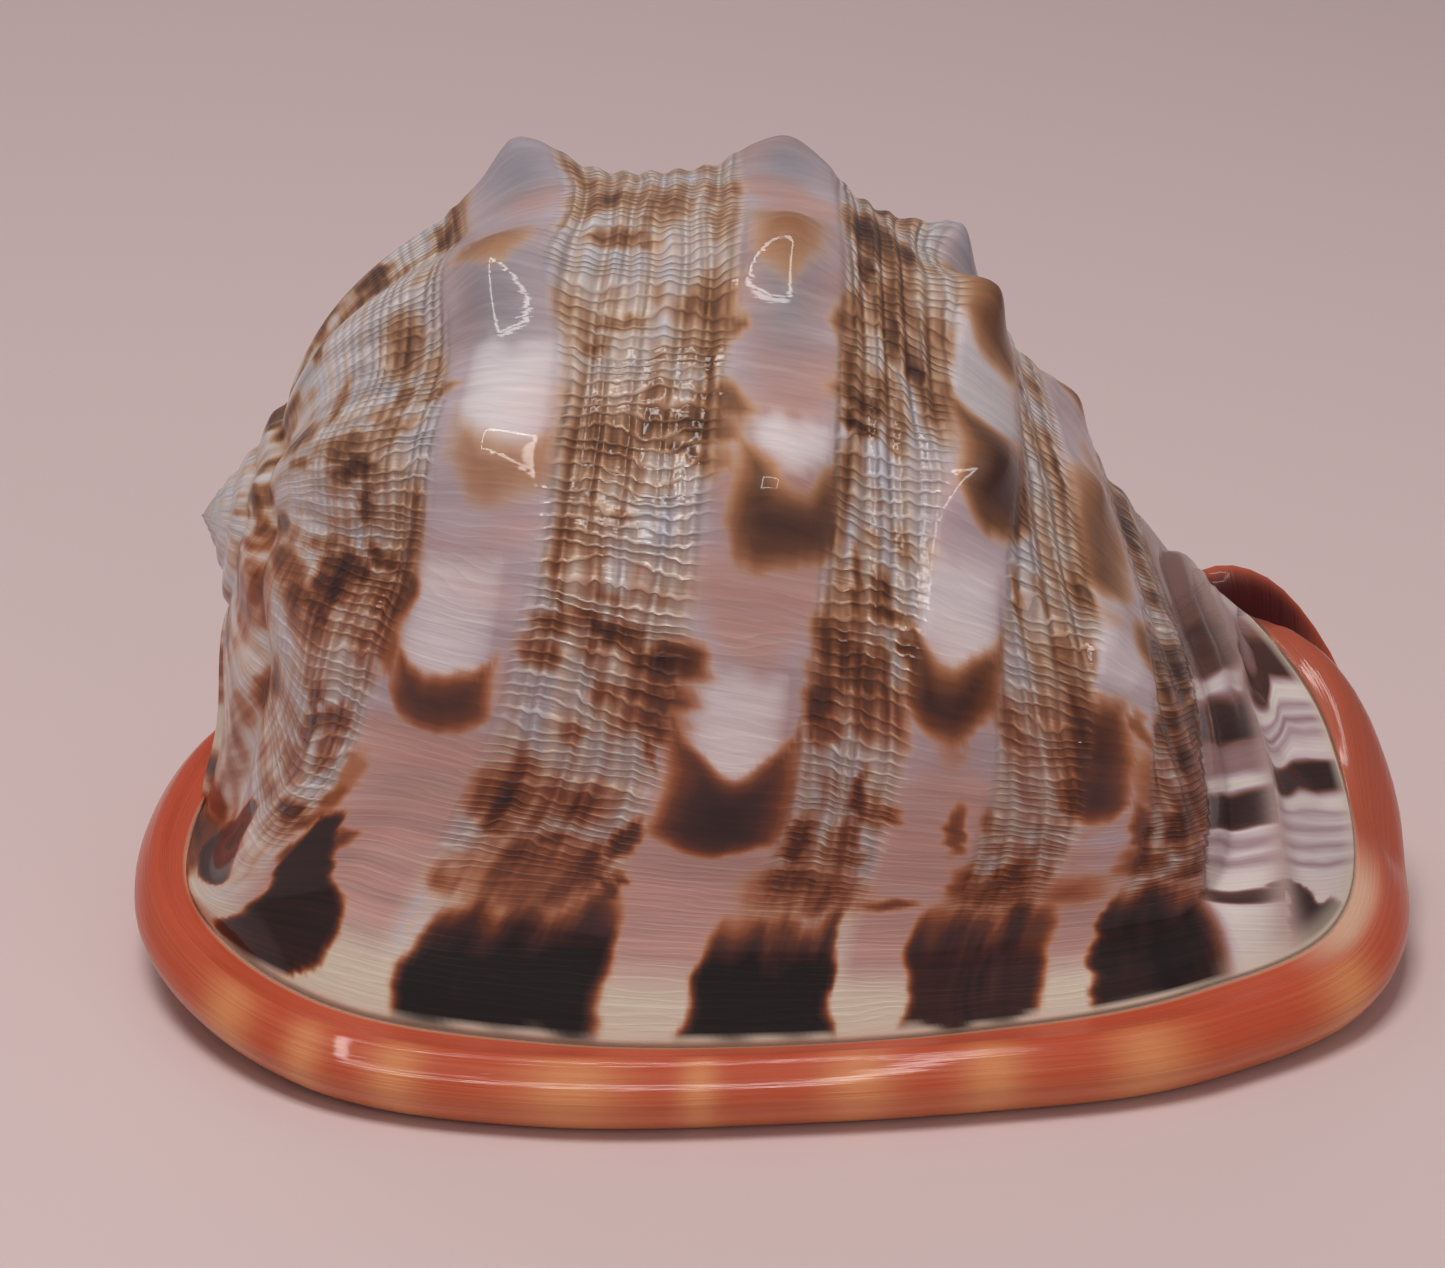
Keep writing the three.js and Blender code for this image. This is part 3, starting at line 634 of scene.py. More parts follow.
# Brown blotches of the beaded zones and the shoulder, placed on the photograph:
# middle and half size in its pixels, depth
PHOTO_WIDTH = 1445
PHOTO_HEIGHT = 1268
SEEN_BLOTCHES = [
    [665, 205, 22, 18, 0.36], [620, 238, 28, 10, 0.4], [657, 248, 10, 7, 0.32], [722, 225, 12, 22, 0.32],
    [618, 326, 26, 9, 0.46], [596, 352, 14, 8, 0.42], [700, 322, 18, 10, 0.34], [735, 340, 12, 8, 0.5],
    [578, 405, 14, 40, 0.24], [655, 395, 18, 22, 0.36], [655, 425, 28, 14, 0.46], [709, 365, 5, 22, 0.55],
    [722, 400, 26, 14, 0.5], [700, 425, 34, 14, 0.5], [682, 452, 24, 8, 0.52], [583, 452, 7, 16, 0.36],
    [710, 465, 14, 20, 0.32], [622, 518, 14, 8, 0.38], [588, 552, 20, 10, 0.34], [553, 590, 6, 16, 0.36],
    [612, 602, 20, 7, 0.3], [562, 622, 32, 10, 0.46], [540, 645, 22, 10, 0.42], [612, 632, 24, 8, 0.62],
    [668, 664, 34, 14, 0.68], [660, 695, 34, 10, 0.56], [610, 692, 18, 14, 0.46], [578, 730, 14, 14, 0.38],
    [655, 722, 26, 12, 0.5], [652, 750, 6, 16, 0.44], [565, 800, 16, 8, 0.44], [510, 790, 8, 24, 0.36],
    [500, 825, 14, 16, 0.42], [550, 842, 18, 9, 0.5], [622, 840, 10, 22, 0.66], [590, 870, 14, 30, 0.5],
    [500, 880, 14, 20, 0.46], [550, 890, 18, 16, 0.44], [610, 890, 10, 26, 0.6], [888, 330, 6, 28, 0.5],
    [912, 377, 12, 10, 0.6], [850, 308, 10, 18, 0.42], [865, 275, 10, 14, 0.55], [845, 330, 12, 14, 0.45],
    [858, 400, 30, 14, 0.48], [858, 428, 22, 8, 0.6], [885, 390, 10, 20, 0.4], [900, 430, 8, 30, 0.34],
    [868, 540, 10, 14, 0.3], [900, 540, 8, 14, 0.34], [855, 590, 6, 40, 0.5], [882, 585, 14, 14, 0.5],
    [890, 612, 22, 10, 0.58], [835, 640, 18, 22, 0.6], [820, 690, 16, 22, 0.62], [850, 670, 16, 30, 0.55],
    [875, 670, 10, 30, 0.46], [825, 720, 18, 14, 0.44], [868, 720, 12, 20, 0.44], [908, 655, 10, 12, 0.6],
    [864, 800, 7, 28, 0.5], [888, 815, 16, 9, 0.46], [955, 830, 8, 24, 0.5], [800, 840, 14, 30, 0.5],
    [840, 850, 14, 30, 0.42], [790, 885, 30, 14, 0.56], [1018, 600, 8, 26, 0.44], [1045, 600, 6, 20, 0.3],
    [1042, 655, 6, 26, 0.34], [1010, 725, 12, 30, 0.38], [1008, 850, 30, 8, 0.26], [965, 880, 14, 16, 0.46],
    [1010, 880, 14, 20, 0.5], [1080, 455, 8, 14, 0.3], [1152, 655, 22, 20, 0.48], [1172, 690, 14, 14, 0.55],
    [1140, 730, 8, 24, 0.4], [1180, 740, 12, 16, 0.36], [1150, 790, 18, 30, 0.34], [1145, 830, 10, 20, 0.52],
    [1185, 830, 12, 18, 0.55], [1140, 860, 24, 12, 0.48], [400, 345, 22, 26, 0.36], [325, 355, 12, 8, 0.5],
    [300, 440, 18, 15, 0.58], [308, 465, 12, 6, 0.45], [335, 400, 6, 34, 0.45], [400, 395, 8, 14, 0.4],
    [395, 420, 24, 6, 0.36], [440, 400, 22, 5, 0.42], [355, 450, 18, 9, 0.5], [355, 470, 18, 9, 0.68],
    [365, 505, 8, 22, 0.5], [395, 510, 8, 16, 0.35], [270, 520, 6, 12, 0.5], [340, 568, 34, 11, 0.6],
    [330, 585, 20, 12, 0.66], [385, 555, 26, 10, 0.6], [405, 590, 10, 36, 0.56], [380, 590, 18, 20, 0.42],
    [320, 607, 16, 12, 0.6], [395, 640, 9, 28, 0.42], [280, 562, 28, 13, 0.5], [300, 592, 22, 16, 0.45],
    [262, 590, 12, 26, 0.48], [240, 590, 6, 30, 0.4], [320, 540, 20, 8, 0.4], [248, 690, 10, 16, 0.5],
    [268, 680, 8, 26, 0.5], [315, 690, 8, 10, 0.55], [312, 720, 14, 8, 0.62], [295, 735, 20, 9, 0.5],
    [335, 725, 14, 14, 0.5], [325, 750, 12, 16, 0.4], [285, 768, 10, 18, 0.36], [330, 800, 10, 30, 0.42],
    [355, 775, 12, 30, 0.3], [285, 807, 18, 7, 0.66], [305, 822, 12, 9, 0.5], [290, 850, 10, 20, 0.55],
    [335, 840, 10, 30, 0.5],
]
# more of them in surface terms: t, w, half length in t and in w, depth
MORE_BLOTCHES = [
    [0.712, 0.772, 0.018, 0.01, 0.5],
    [0.5, 0.775, 0.036, 0.06, 0.42],
    [0.655, 0.76, 0.03, 0.045, 0.44],
    [0.93, 0.05, 0.008, 0.1, 0.45],
    [0.783, 0.745, 0.026, 0.04, 0.42],
    [0.905, 0.6, 0.02, 0.06, 0.44],
]
SEARCH_ROWS = np.linspace(0.002, 0.998, 500)
SEARCH_COLUMNS = np.linspace(-1, 1, 900)

# Brown between the blotches: row t, level on the near side and on the far side
ZONE_LEVELS = np.array([
    [0.335, 0.2, 0.34],
    [0.508, 0.16, 0.3],
    [0.698, 0.22, 0.34],
    [0.835, 0.12, 0.28],
    [0.935, 0.34, 0.4],
])
SPIRE_NEAR = 0.12
SPIRE_FAR = 0.34
RIBS_PER_COLUMN = 23

# Canal end of the body, from these rows on: column w, row t
END_ROWS = np.array([
    [-1, 0.925],
    [0, 0.95],
    [0.41, 0.94],
    [0.51, 0.927],
    [0.58, 0.92],
    [0.68, 0.909],
    [0.82, 0.904],
    [1, 0.9],
])
# its stripes left and right of the ridge: w where they meet the ridge, pigment
STRIPES_LEFT = [
    [-1, 0.2], [-0.6, 0.5], [0, 0.5], [0.3, 0.6], [0.37, 0.78], [0.53, 0.7], [0.55, 0.05], [0.566, 0],
    [0.573, 0.85], [0.61, 0.9], [0.618, 0.36], [0.652, 0.36], [0.66, 0], [0.676, 0], [0.684, 0.85],
    [0.733, 0.9], [0.742, 0.05], [0.765, 0.3], [0.78, 0.05], [0.8, 0.3], [0.825, 0.05], [0.862, 0],
    [0.868, 0.78], [0.884, 0.8], [0.892, 0], [1, 0],
]
STRIPES_RIGHT = [
    [-1, 0.2], [-0.6, 0.4], [0, 0.1], [0.4, 0.4], [0.47, 0.75], [0.548, 0.8], [0.56, 0], [0.571, 0],
    [0.577, 0.3], [0.586, 0.1], [0.594, 0.32], [0.603, 0.1], [0.612, 0.3], [0.62, 0], [0.632, 0],
    [0.638, 0.88], [0.672, 0.9], [0.684, 0], [0.7, 0], [0.712, 0.25], [0.724, 0.05], [0.74, 0.28],
    [0.755, 0.04], [0.772, 0.28], [0.79, 0.03], [0.806, 0.3], [0.82, 0.06], [0.9, 0], [1, 0],
]
SLANT_LEFT = -0.22
SLANT_RIGHT = 0.6

# Paler places along the rim of the flange: row t, half width
RIM_LIGHTS = [[0.395, 0.012], [0.435, 0.01], [0.478, 0.012], [0.555, 0.024], [0.617, 0.01], [0.705, 0.022],
              [0.785, 0.018], [0.86, 0.015], [0.93, 0.012]]


def speckle(t, w, per_row, per_column, seed):
    """Cloudy noise in surface coordinates that closes around the shell, about -1 to 1."""
    turn = math.pi * w
    reach = per_column / math.pi
    points = np.stack([t * per_row + 7.3 * seed, reach * np.cos(turn), reach * np.sin(turn)], -1)
    return 2 * np.array([noise.noise(p) for p in points.tolist()])


def tongue(t, w, t_top, w_top, t_low, w_low, half, notch, depth, rim=2.3):
    """One tongue: 0 outside, rising inwards over its rim and darker towards its lower end."""
    down = np.clip((w - w_top) / (w_low - w_top), 0, 1)
    middle = t_top + (t_low - t_top) * down
    s = (t - middle) / half
    from_side = (1 - np.abs(s)) * half * 150
    from_top = (w - w_top - notch * (1 - s * s)) * 100
    from_low = (w_low - 0.035 * s * s - w) * 100
    inside = np.minimum(np.minimum(from_side, from_top), from_low)
    return depth * (0.8 + 0.2 * down) * (1 - np.exp(-np.maximum(inside + 0.3, 0) / rim))


def far_tongues():
    far = []
    for row, (middle, half) in enumerate(FAR_ROWS):
        for k, place in enumerate(FAR_PLACES):
            w = place + 0.04 * (row % 2)
            depth = 0.8 - 0.12 * ((k + row) % 2)
            far.append([middle, w + 0.055, middle, w - 0.05, half, -0.03, depth])
    return far


def zone_pigment(t, w, clouds):
    near = curve(ZONE_LEVELS, 1, t)
    level = curve(ZONE_LEVELS, 2, t)
    level = level + (near - level) * ease(-0.4, -0.15, w)
    zone = (1 - band_share(t, w)) * ease(0.3, 0.36, t) * (1 - ease(0.8, 0.88, np.abs(w)))
    return zone * np.clip(level * (1 + 0.9 * clouds) + 0.1 * clouds, 0, 0.6)


def photo_pixels(points):
    """Where points of the frame lie in the photograph."""
    ahead = unit(np.array(CAMERA_TARGET) - CAMERA_PLACE)
    right = unit(np.cross(ahead, [0, 0, 1]))
    up = np.cross(right, ahead)
    focal = CAMERA_LENS / SENSOR_WIDTH * PHOTO_WIDTH
    off = points - CAMERA_PLACE
    depth = off @ ahead
    x = PHOTO_WIDTH / 2 + focal * (off @ right) / depth
    y = PHOTO_HEIGHT / 2 - focal * (off @ up) / depth
    return np.stack([x, y], -1)


def half_length(per_step, half_x, half_y):
    """Half length on the body of an ellipse of the photograph, along one surface direction."""
    pixels = np.hypot(*per_step)
    across_x, across_y = per_step / pixels
    return 1 / np.hypot(across_x / half_x, across_y / half_y) / pixels


def body_blotches(shift):
    """All blotches in rows and columns of the body; shift moves the body into the frame."""
    t, w = np.meshgrid(SEARCH_ROWS, SEARCH_COLUMNS, indexing="ij")
    points = (body_point(t, w) - shift) * MM
    out = np.cross(np.gradient(points, axis=1), np.gradient(points, axis=0))
    seen = (out * (np.array(CAMERA_PLACE) - points)).sum(-1) > 0
    pixels = photo_pixels(points)
    per_row = np.gradient(pixels, SEARCH_ROWS, axis=0)
    per_column = np.gradient(pixels, SEARCH_COLUMNS, axis=1)
    blotches = list(MORE_BLOTCHES)
    for x, y, half_x, half_y, depth in SEEN_BLOTCHES:
        away = np.where(seen, np.hypot(pixels[..., 0] - x, pixels[..., 1] - y), np.inf)
        place = np.unravel_index(np.argmin(away), away.shape)
        half_t = half_length(per_row[place], half_x, half_y)
        half_w = half_length(per_column[place], half_x, half_y)
        blotches.append([t[place], w[place], half_t, half_w, depth])
    return blotches


def blotch_pigment(t, w, blotches):
    pigment = 0 * t
    for middle, place, half_t, half_w, depth in blotches:
        off = np.hypot((t - middle) / half_t, (w - place) / half_w)
        pigment = np.maximum(pigment, depth * (1 - ease(0.5, 1.95, off)))
    return pigment


def hook_pigment(t, w):
    field = 0 * t
    for middle, place, half_t, half_w in HOOKS:
        field = field + np.exp(-((t - middle) / half_t) ** 2 - ((w - place) / half_w) ** 2)
    return HOOK_DEPTH * ease(0.3, 0.62, field)


def rib_wave(t, w):
    """Fine ribs across the spire and the shoulder, 1 on a rib."""
    zone = ease(0.03, 0.1, t) * (1 - ease(0.3, 0.36, t))
    return zone * np.cos(2 * math.pi * RIBS_PER_COLUMN * w + 1.6 * np.sin(40 * t))


def spire_pigment(t, w, clouds):
    spire = (1 - ease(0.32, 0.37, t)) * ease(0.05, 0.12, t)
    side = ease(-0.1, 0.1, w) * (1 - ease(0.8, 1, w)) * ease(0.1, 0.2, t)
    level = SPIRE_FAR + (SPIRE_NEAR - SPIRE_FAR) * side - 0.06 * rib_wave(t, w)
    return spire * np.clip(level + (0.5 - 0.3 * side) * clouds, 0, 0.56)


def lip_pigment(t, w, streak):
    pigment = 0 * t
    for low, high, start, stop, depth in LIP_PATCHES:
        side = 1 - ease(0.82, 1.08, np.abs(t - (low + high) / 2) / ((high - low) / 2))
        down = ease(start - 0.03, start + 0.15, w + 0.03 * streak) * (1 - ease(stop - 0.04, stop, w))
        pigment = np.maximum(pigment, depth * side * down)
    return pigment


def stripe_place(t, w):
    """Column of the ridge that the stripe through this point of the canal end belongs to."""
    columns = np.linspace(0, 1, 120)
    side = np.where(w < 0, -1.0, 1.0)
    place = np.empty_like(t)
    for sign in (-1.0, 1.0):
        ridge = body_point(curve(RIDGE_ROWS, 1, sign * columns), sign * columns)[::-1]
        chosen = side == sign
        point = body_point(t[chosen], w[chosen])
        right = SLANT_RIGHT * (1 - 0.6 * ease(0.62, 0.8, np.abs(w[chosen])))
        slant = np.where(t[chosen] > curve(RIDGE_ROWS, 1, w[chosen]), right, SLANT_LEFT)
        beside = [np.interp(point[:, 2], ridge[:, 2], ridge[:, k]) for k in (0, 1)]
        reach = np.hypot(point[:, 0] - beside[0], point[:, 1] - beside[1])
        place[chosen] = sign * np.interp(point[:, 2] + slant * reach, ridge[:, 2], columns[::-1])
    return place


def canal_share(t, w):
    """1 at the canal end of the body, beyond the last zone of cords."""
    return ease(-0.006, 0.006, t - curve(END_ROWS, 1, w))


def body_pigment(t, w, blotches):
    """Brown of the body, 0 for the pale ground to 1 for black-brown."""
    t_warped = t + 0.004 * speckle(t, w, 22, 16, 1) + 0.001 * speckle(t, w, 70, 60, 2)
    w_warped = w + 0.008 * speckle(t, w, 26, 18, 3) + 0.002 * speckle(t, w, 130, 20, 4)
    pigment = 0 * t
    for mark in TONGUES:
        pigment = np.maximum(pigment, tongue(t_warped, w_warped, *mark))
    for t_top, w_top, t_low, w_low, half, notch, depth in far_tongues():
        mark = (t_top, -w_top, t_low, -w_low, half, notch, depth)
        pigment = np.maximum(pigment, tongue(t_warped, -w_warped, *mark))
    clouds = speckle(t, w, 17, 13, 5) + 0.45 * speckle(t, w, 60, 30, 6)
    streak = speckle(t, w, 70, 8, 7)
    ragged = t_warped + 0.003 * speckle(t, w, 20, 90, 11)
    pigment = np.maximum(pigment, zone_pigment(t_warped, w_warped, clouds))
    pigment = np.maximum(pigment, spire_pigment(t_warped, w, clouds))
    pigment = np.maximum(pigment, blotch_pigment(ragged, w_warped, blotches))
    pigment = np.maximum(pigment, lip_pigment(t_warped, w_warped, streak))
    pigment = pigment * (1 - canal_share(t, w))
    pigment = np.maximum(pigment, hook_pigment(t_warped, w_warped))
    return np.clip(pigment, 0, 1)


def surface_marks(t, w, step, blotches):
    """Values per corner that the shader turns into colours and relief."""
    on_body = step < 0.05
    outside = ~on_body
    zone = on_body * (1 - band_share(t, w)) * (1 - canal_share(t, w))
    pigment = np.zeros_like(t)
    pigment[on_body] = body_pigment(t[on_body], w[on_body], blotches)
    white = ease(0.87, 0.96, np.abs(w))
    white = np.maximum(white, 0.4 * (1 - ease(0.3, 0.38, t)) * ease(-0.6, 0.6, rib_wave(t, w)))
    for mark in PALE_PATCHES:
        white = np.maximum(white, tongue(t, w + 0.005 * speckle(t, w, 60, 14, 9), *mark, rim=0.9))
    clouds = speckle(t, w, 16, 20, 8)
    warm = ease(0.45, 0.8, np.abs(w)) + 0.5 * np.exp(-((t - 0.6) / 0.05) ** 2)
    blush = ease(-0.1, 0.6, 0.4 * clouds + warm)
    cool = np.zeros_like(t)
    for row in (0.398, 0.606, 0.79):
        for place in (0.19, -0.05):
            cool = np.maximum(cool, np.exp(-((t - row) / 0.035) ** 2 - ((w - place) / 0.06) ** 2))
    cool = np.maximum(cool, 0.5 * (1 - ease(0.3, 0.36, t)) * ease(-0.2, 0.5, clouds))
    near = (w > 0) | (t >= 1)
    angle = row_angle(t, near)
    # where the canal gets its dark red with painted shade
    canal = ease(364.5, 368, angle) * (1 - ease(381, 384, angle)) * (1 - ease(2, 3, step))
    light = np.zeros_like(t)
    for place, half in RIM_LIGHTS:
        light = np.maximum(light, np.exp(-((t - place) / half) ** 2))
    light = light * ease(1, 2.6, step) * (1 - ease(4, 5, step))
    foot = ease(326, 336, angle) * (1 - ease(341, 350, angle)) * (1 - ease(0.7, 2.2, step))
    plate = ease(340, 352, angle) * (1 - ease(384, 396, angle)) * (1 - ease(1.6, 3, step))
    inner = ease(5.2, 5.8, step) * (1 - ease(7.4, 8, step))
    groove = np.clip(-tooth_wave(t), 0, 1) * inner
    end = np.where(on_body, canal_share(t, w), 0)
    beyond = on_body & (canal_share(t + 0.012, w) > 0)
    stripe = w.copy()
    stripe[beyond] = stripe_place(t[beyond], w[beyond])
    flow = np.where(end > 0.5, stripe, w)
    uneven = 0.006 * speckle(t, w, 40, 10, 12)
    veil = np.where(on_body, ease(0.984, 0.996, np.abs(w) + uneven) * ease(0.3, 0.34, t), 0)
    veil = np.maximum(veil, end * ease(0.94, 0.99, np.abs(w)) * 0.5)
    return {
        "row": t,
        "column": flow,
        "turn_x": np.cos(math.pi * flow),
        "turn_y": np.sin(math.pi * flow),
        "step": step,
        "stripe": stripe,
        "end": end,
        "past_ridge": (t - curve(RIDGE_ROWS, 1, w)) * 100,
        "gold": on_body * (1 - ease(0.3, 0.6, np.abs(w))),
        "low": on_body * ease(0.8, 0.94, np.abs(w)),
        "foot": foot * outside,
        "veil": veil,
        "pigment": pigment,
        "white": white,
        "blush": blush,
        "cool": cool,
        "zone": zone,
        "beads": zone * (1 - ease(0.66, 0.84, np.abs(w))) * ease(0.16, 0.36, t),
        "ridge": on_body * np.exp(-((t - curve(RIDGE_ROWS, 1, w)) / 0.007) ** 2),
        "lines": on_body * (1 - ease(0.97, 1, np.abs(w))),
        "canal": np.where(outside, canal, 0),
        "light": light,
        "groove": groove,
        "plate": plate * (t > 0.9),
    }


class Skin:
    """Collects corners, faces and one pair of surface coordinates per corner."""

    def __init__(self):
        self.corners = []
        self.places = []
        self.count = 0
        self.faces = []

    def add(self, points, places):
        points = np.asarray(points, float).reshape(-1, 3)
        self.corners.append(points)
        self.places.append(np.asarray(places, float).reshape(-1, 3))
        first = self.count
        self.count += len(points)
        return np.arange(first, self.count)

    def strip(self, first, second):
        quads = np.stack([first[:-1], second[:-1], second[1:], first[1:]], -1)
        self.faces.extend(quads.tolist())


def add_body(skin, rows, columns):
    t, w = np.meshgrid(rows[1:-1], columns, indexing="ij")
    points = skin_point(t, w)
    tip = body_point(np.array(0.0), np.array(0.0)) - [TIP_HEIGHT, 0, 0]
    first = skin.add(tip, [0, 0, 0])[0]
    last = skin.add(body_point(np.array(1.0), np.array(0.0)), [1, 0, 0])[0]
    lines = [np.full(len(columns), first)]
    for i in range(len(rows) - 2):
        is_closed = rows[i + 1] <= LAST_CLOSED + 1e-9
        stop = -1 if is_closed else None
        places = np.stack([t[i, :stop], w[i, :stop], 0 * t[i, :stop]], -1)
        line = skin.add(points[i, :stop], places)
        lines.append(np.append(line, line[0]) if is_closed else line)
    lines.append(np.full(len(columns), last))
    for a, b in zip(lines[:-1], lines[1:]):
        skin.strip(a, b)
    return lines


def add_mouth(skin, rows, lines):
    """Flange, underside, slot and chamber: rings inside each other, starting from the crease."""
    open_rows = [i for i in range(len(rows)) if LAST_CLOSED + 1e-9 < rows[i] < 1]
    first = open_rows[0] - 1
    last = len(rows) - 1
    index = np.array([first, *open_rows, last, *open_rows[::-1]])
    near = np.array([True] * (len(open_rows) + 2) + [False] * len(open_rows))
    t = rows[index]
    ring = np.array([lines[i][-1] if n else lines[i][0] for i, n in zip(index, near)])
    steps = np.concatenate([np.linspace(0, 4, 21)[1:], np.linspace(4, 8, PROFILE_PARTS - 19)[1:]])
    rings = [(profile_point(t, near, s), s) for s in steps]
    rings += [(chamber_point(t, near, a), 8 + (i + 1) / 10) for i, a in enumerate(CHAMBER_RINGS)]
    for points, step in rings:
        places = np.stack([t, np.where(near, 1.0, -1.0), step + 0 * t], -1)
        line = skin.add(points, places)
        skin.strip(np.append(ring, ring[0]), np.append(line, line[0]))
        ring = line
    count = len(open_rows)
    outer = ring[:count + 2]
    inner = np.concatenate([[ring[0]], ring[count + 2:][::-1], [ring[count + 1]]])
    skin.strip(outer, inner)


def clean_faces(faces):
    cleaned = []
    for face in faces:
        kept = [v for i, v in enumerate(face) if v != face[i - 1]]
        if len(set(kept)) >= 3:
            cleaned.append(kept)
    return cleaned


def make_shell():
    rows = row_places()
    skin = Skin()
    lines = add_body(skin, rows, column_places())
    add_mouth(skin, rows, lines)
    corners = np.concatenate(skin.corners)
    places = np.concatenate(skin.places)
    low = corners.min(0)
    high = corners.max(0)
    shift = np.array([(low[0] + high[0]) / 2, (low[1] + high[1]) / 2, low[2]])
    corners = corners - shift
    mesh = bpy.data.meshes.new("shell")
    mesh.from_pydata((corners * MM).tolist(), [], clean_faces(skin.faces))
    mesh.update()
    for name, values in surface_marks(*places.T, body_blotches(shift)).items():
        attribute = mesh.attributes.new(name, "FLOAT", "POINT")
        attribute.data.foreach_set("value", values.astype(np.float32))
    mesh.polygons.foreach_set("use_smooth", [True] * len(mesh.polygons))
    piece = bpy.data.objects.new("shell", mesh)
    bpy.context.collection.objects.link(piece)
    return piece


def linear(red, green, blue):
    """Screen colour to the values that the shader works with."""
    values = []
    for part in (red, green, blue):
        v = part / 255
        values.append(v / 12.92 if v <= 0.04045 else ((v + 0.055) / 1.055) ** 2.4)
    return (*values, 1)


# Camera, light and floor, in metres of the frame
CAMERA_PLACE = (-0.00578, -0.35616, 0.18154)
CAMERA_TARGET = (-0.00578, 0.0002, 0.0332)
CAMERA_LENS = 83.4
SENSOR_WIDTH = 36
FLOOR_SIZE = 40.0
FLOOR_COLOUR = (0.74, 0.6, 0.6)
FLOOR_ROUGHNESS = 0.85
# soft lamps: name, place, target, width and height, power, colour
LAMPS = [
    ["key", (-0.12, -0.25, 0.9), (0, 0, 0.04), (0.35, 0.25), 4.6, (1, 0.97, 0.94)],
    ["fill", (0.5, -0.75, 0.45), (0, 0, 0.04), (0.6, 0.5), 0.7, (1, 0.95, 0.93)],
    ["back", (-0.3, 0.8, 0.6), (0, 0, 0.05), (0.7, 0.4), 1.2, (1, 0.96, 0.95)],
]
FRAME_PLACE = (-0.16, -0.45, 0.62)
FRAME_SIZE = (0.8, 0.5)
FRAME_BAR = 0.05
FRAME_GLOW = 45
FRAME_TARGET = (0, 0, 0.05)
FRAME_COLOUR = (1, 0.98, 0.95)
WORLD_COLOUR = (0.78, 0.67, 0.67)
WORLD_STRENGTH = 0.28

# Colours as screen values: place in the ramp, red, green, blue and opacity
PIGMENT_RAMP = [
    [0.03, 206, 168, 128, 0],
    [0.13, 204, 150, 98, 0.3],
    [0.25, 184, 110, 58, 0.75],
    [0.38, 156, 84, 42, 0.95],
    [0.52, 114, 60, 37, 1],
    [0.72, 72, 38, 33, 1],
    [0.95, 25, 17, 20, 1],
]
# the same on the upper part of the body, where the brown is more golden
GOLDEN_RAMP = [
    [0.03, 206, 172, 136, 0],
    [0.13, 206, 166, 122, 0.3],
    [0.25, 188, 138, 92, 0.75],
    [0.38, 158, 108, 72, 0.95],
    [0.52, 118, 80, 56, 1],
    [0.72, 76, 48, 41, 1],
    [0.95, 25, 17, 20, 1],
]
# the same at the canal end
END_RAMP = [
    [0, 226, 216, 210, 1],
    [0.1, 216, 200, 202, 1],
    [0.28, 170, 142, 148, 1],
    [0.4, 146, 108, 104, 1],
    [0.6, 104, 68, 56, 1],
    [0.8, 70, 45, 42, 1],
    [0.95, 42, 31, 33, 1],
]
LILAC = linear(198, 182, 190)
PINK = linear(206, 162, 152)
MAUVE = linear(152, 122, 126)
CREAM = linear(224, 202, 180)
FROST = linear(206, 212, 222)
VEIL = linear(222, 206, 188)
PLATE = linear(180, 90, 66)
PLATE_FOOT = linear(222, 178, 150)
WHITE = linear(238, 232, 234)
IVORY = linear(226, 214, 194)
COOL = linear(134, 136, 146)
RIDGE = linear(196, 168, 162)
MOUTH_RAMP = [
    [0, 222, 198, 178, 1],
    [0.012, 212, 150, 122, 1],
    [0.03, 198, 84, 56, 1],
    [0.16, 200, 82, 54, 1],
    [0.27, 196, 84, 52, 1],
    [0.34, 206, 112, 70, 1],
    [0.42, 216, 132, 94, 1],
    [0.52, 236, 190, 158, 1],
    [0.6, 240, 212, 186, 1],
    [0.66, 176, 92, 66, 1],
    [0.8, 120, 48, 34, 1],
    [1, 190, 120, 90, 1],
]
RIM_LIGHT = linear(232, 160, 104)
GROOVE = linear(120, 52, 38)
# the canal's own dark red, deepened with painted shade of its inside
CANAL_RED_AND_SHADE = linear(74, 10, 12)

# Relief and fine lines
FINE_CORDS_PER_ROW = 2 * CORDS_PER_ROW
LINES_PER_COLUMN = 92
ARCH = 0.0012
RELIEF = 0.0006
GLAZE_STRENGTH = 0.2
COAT_ROUGHNESS = 0.06
SPECULAR_LEVEL = 0.2


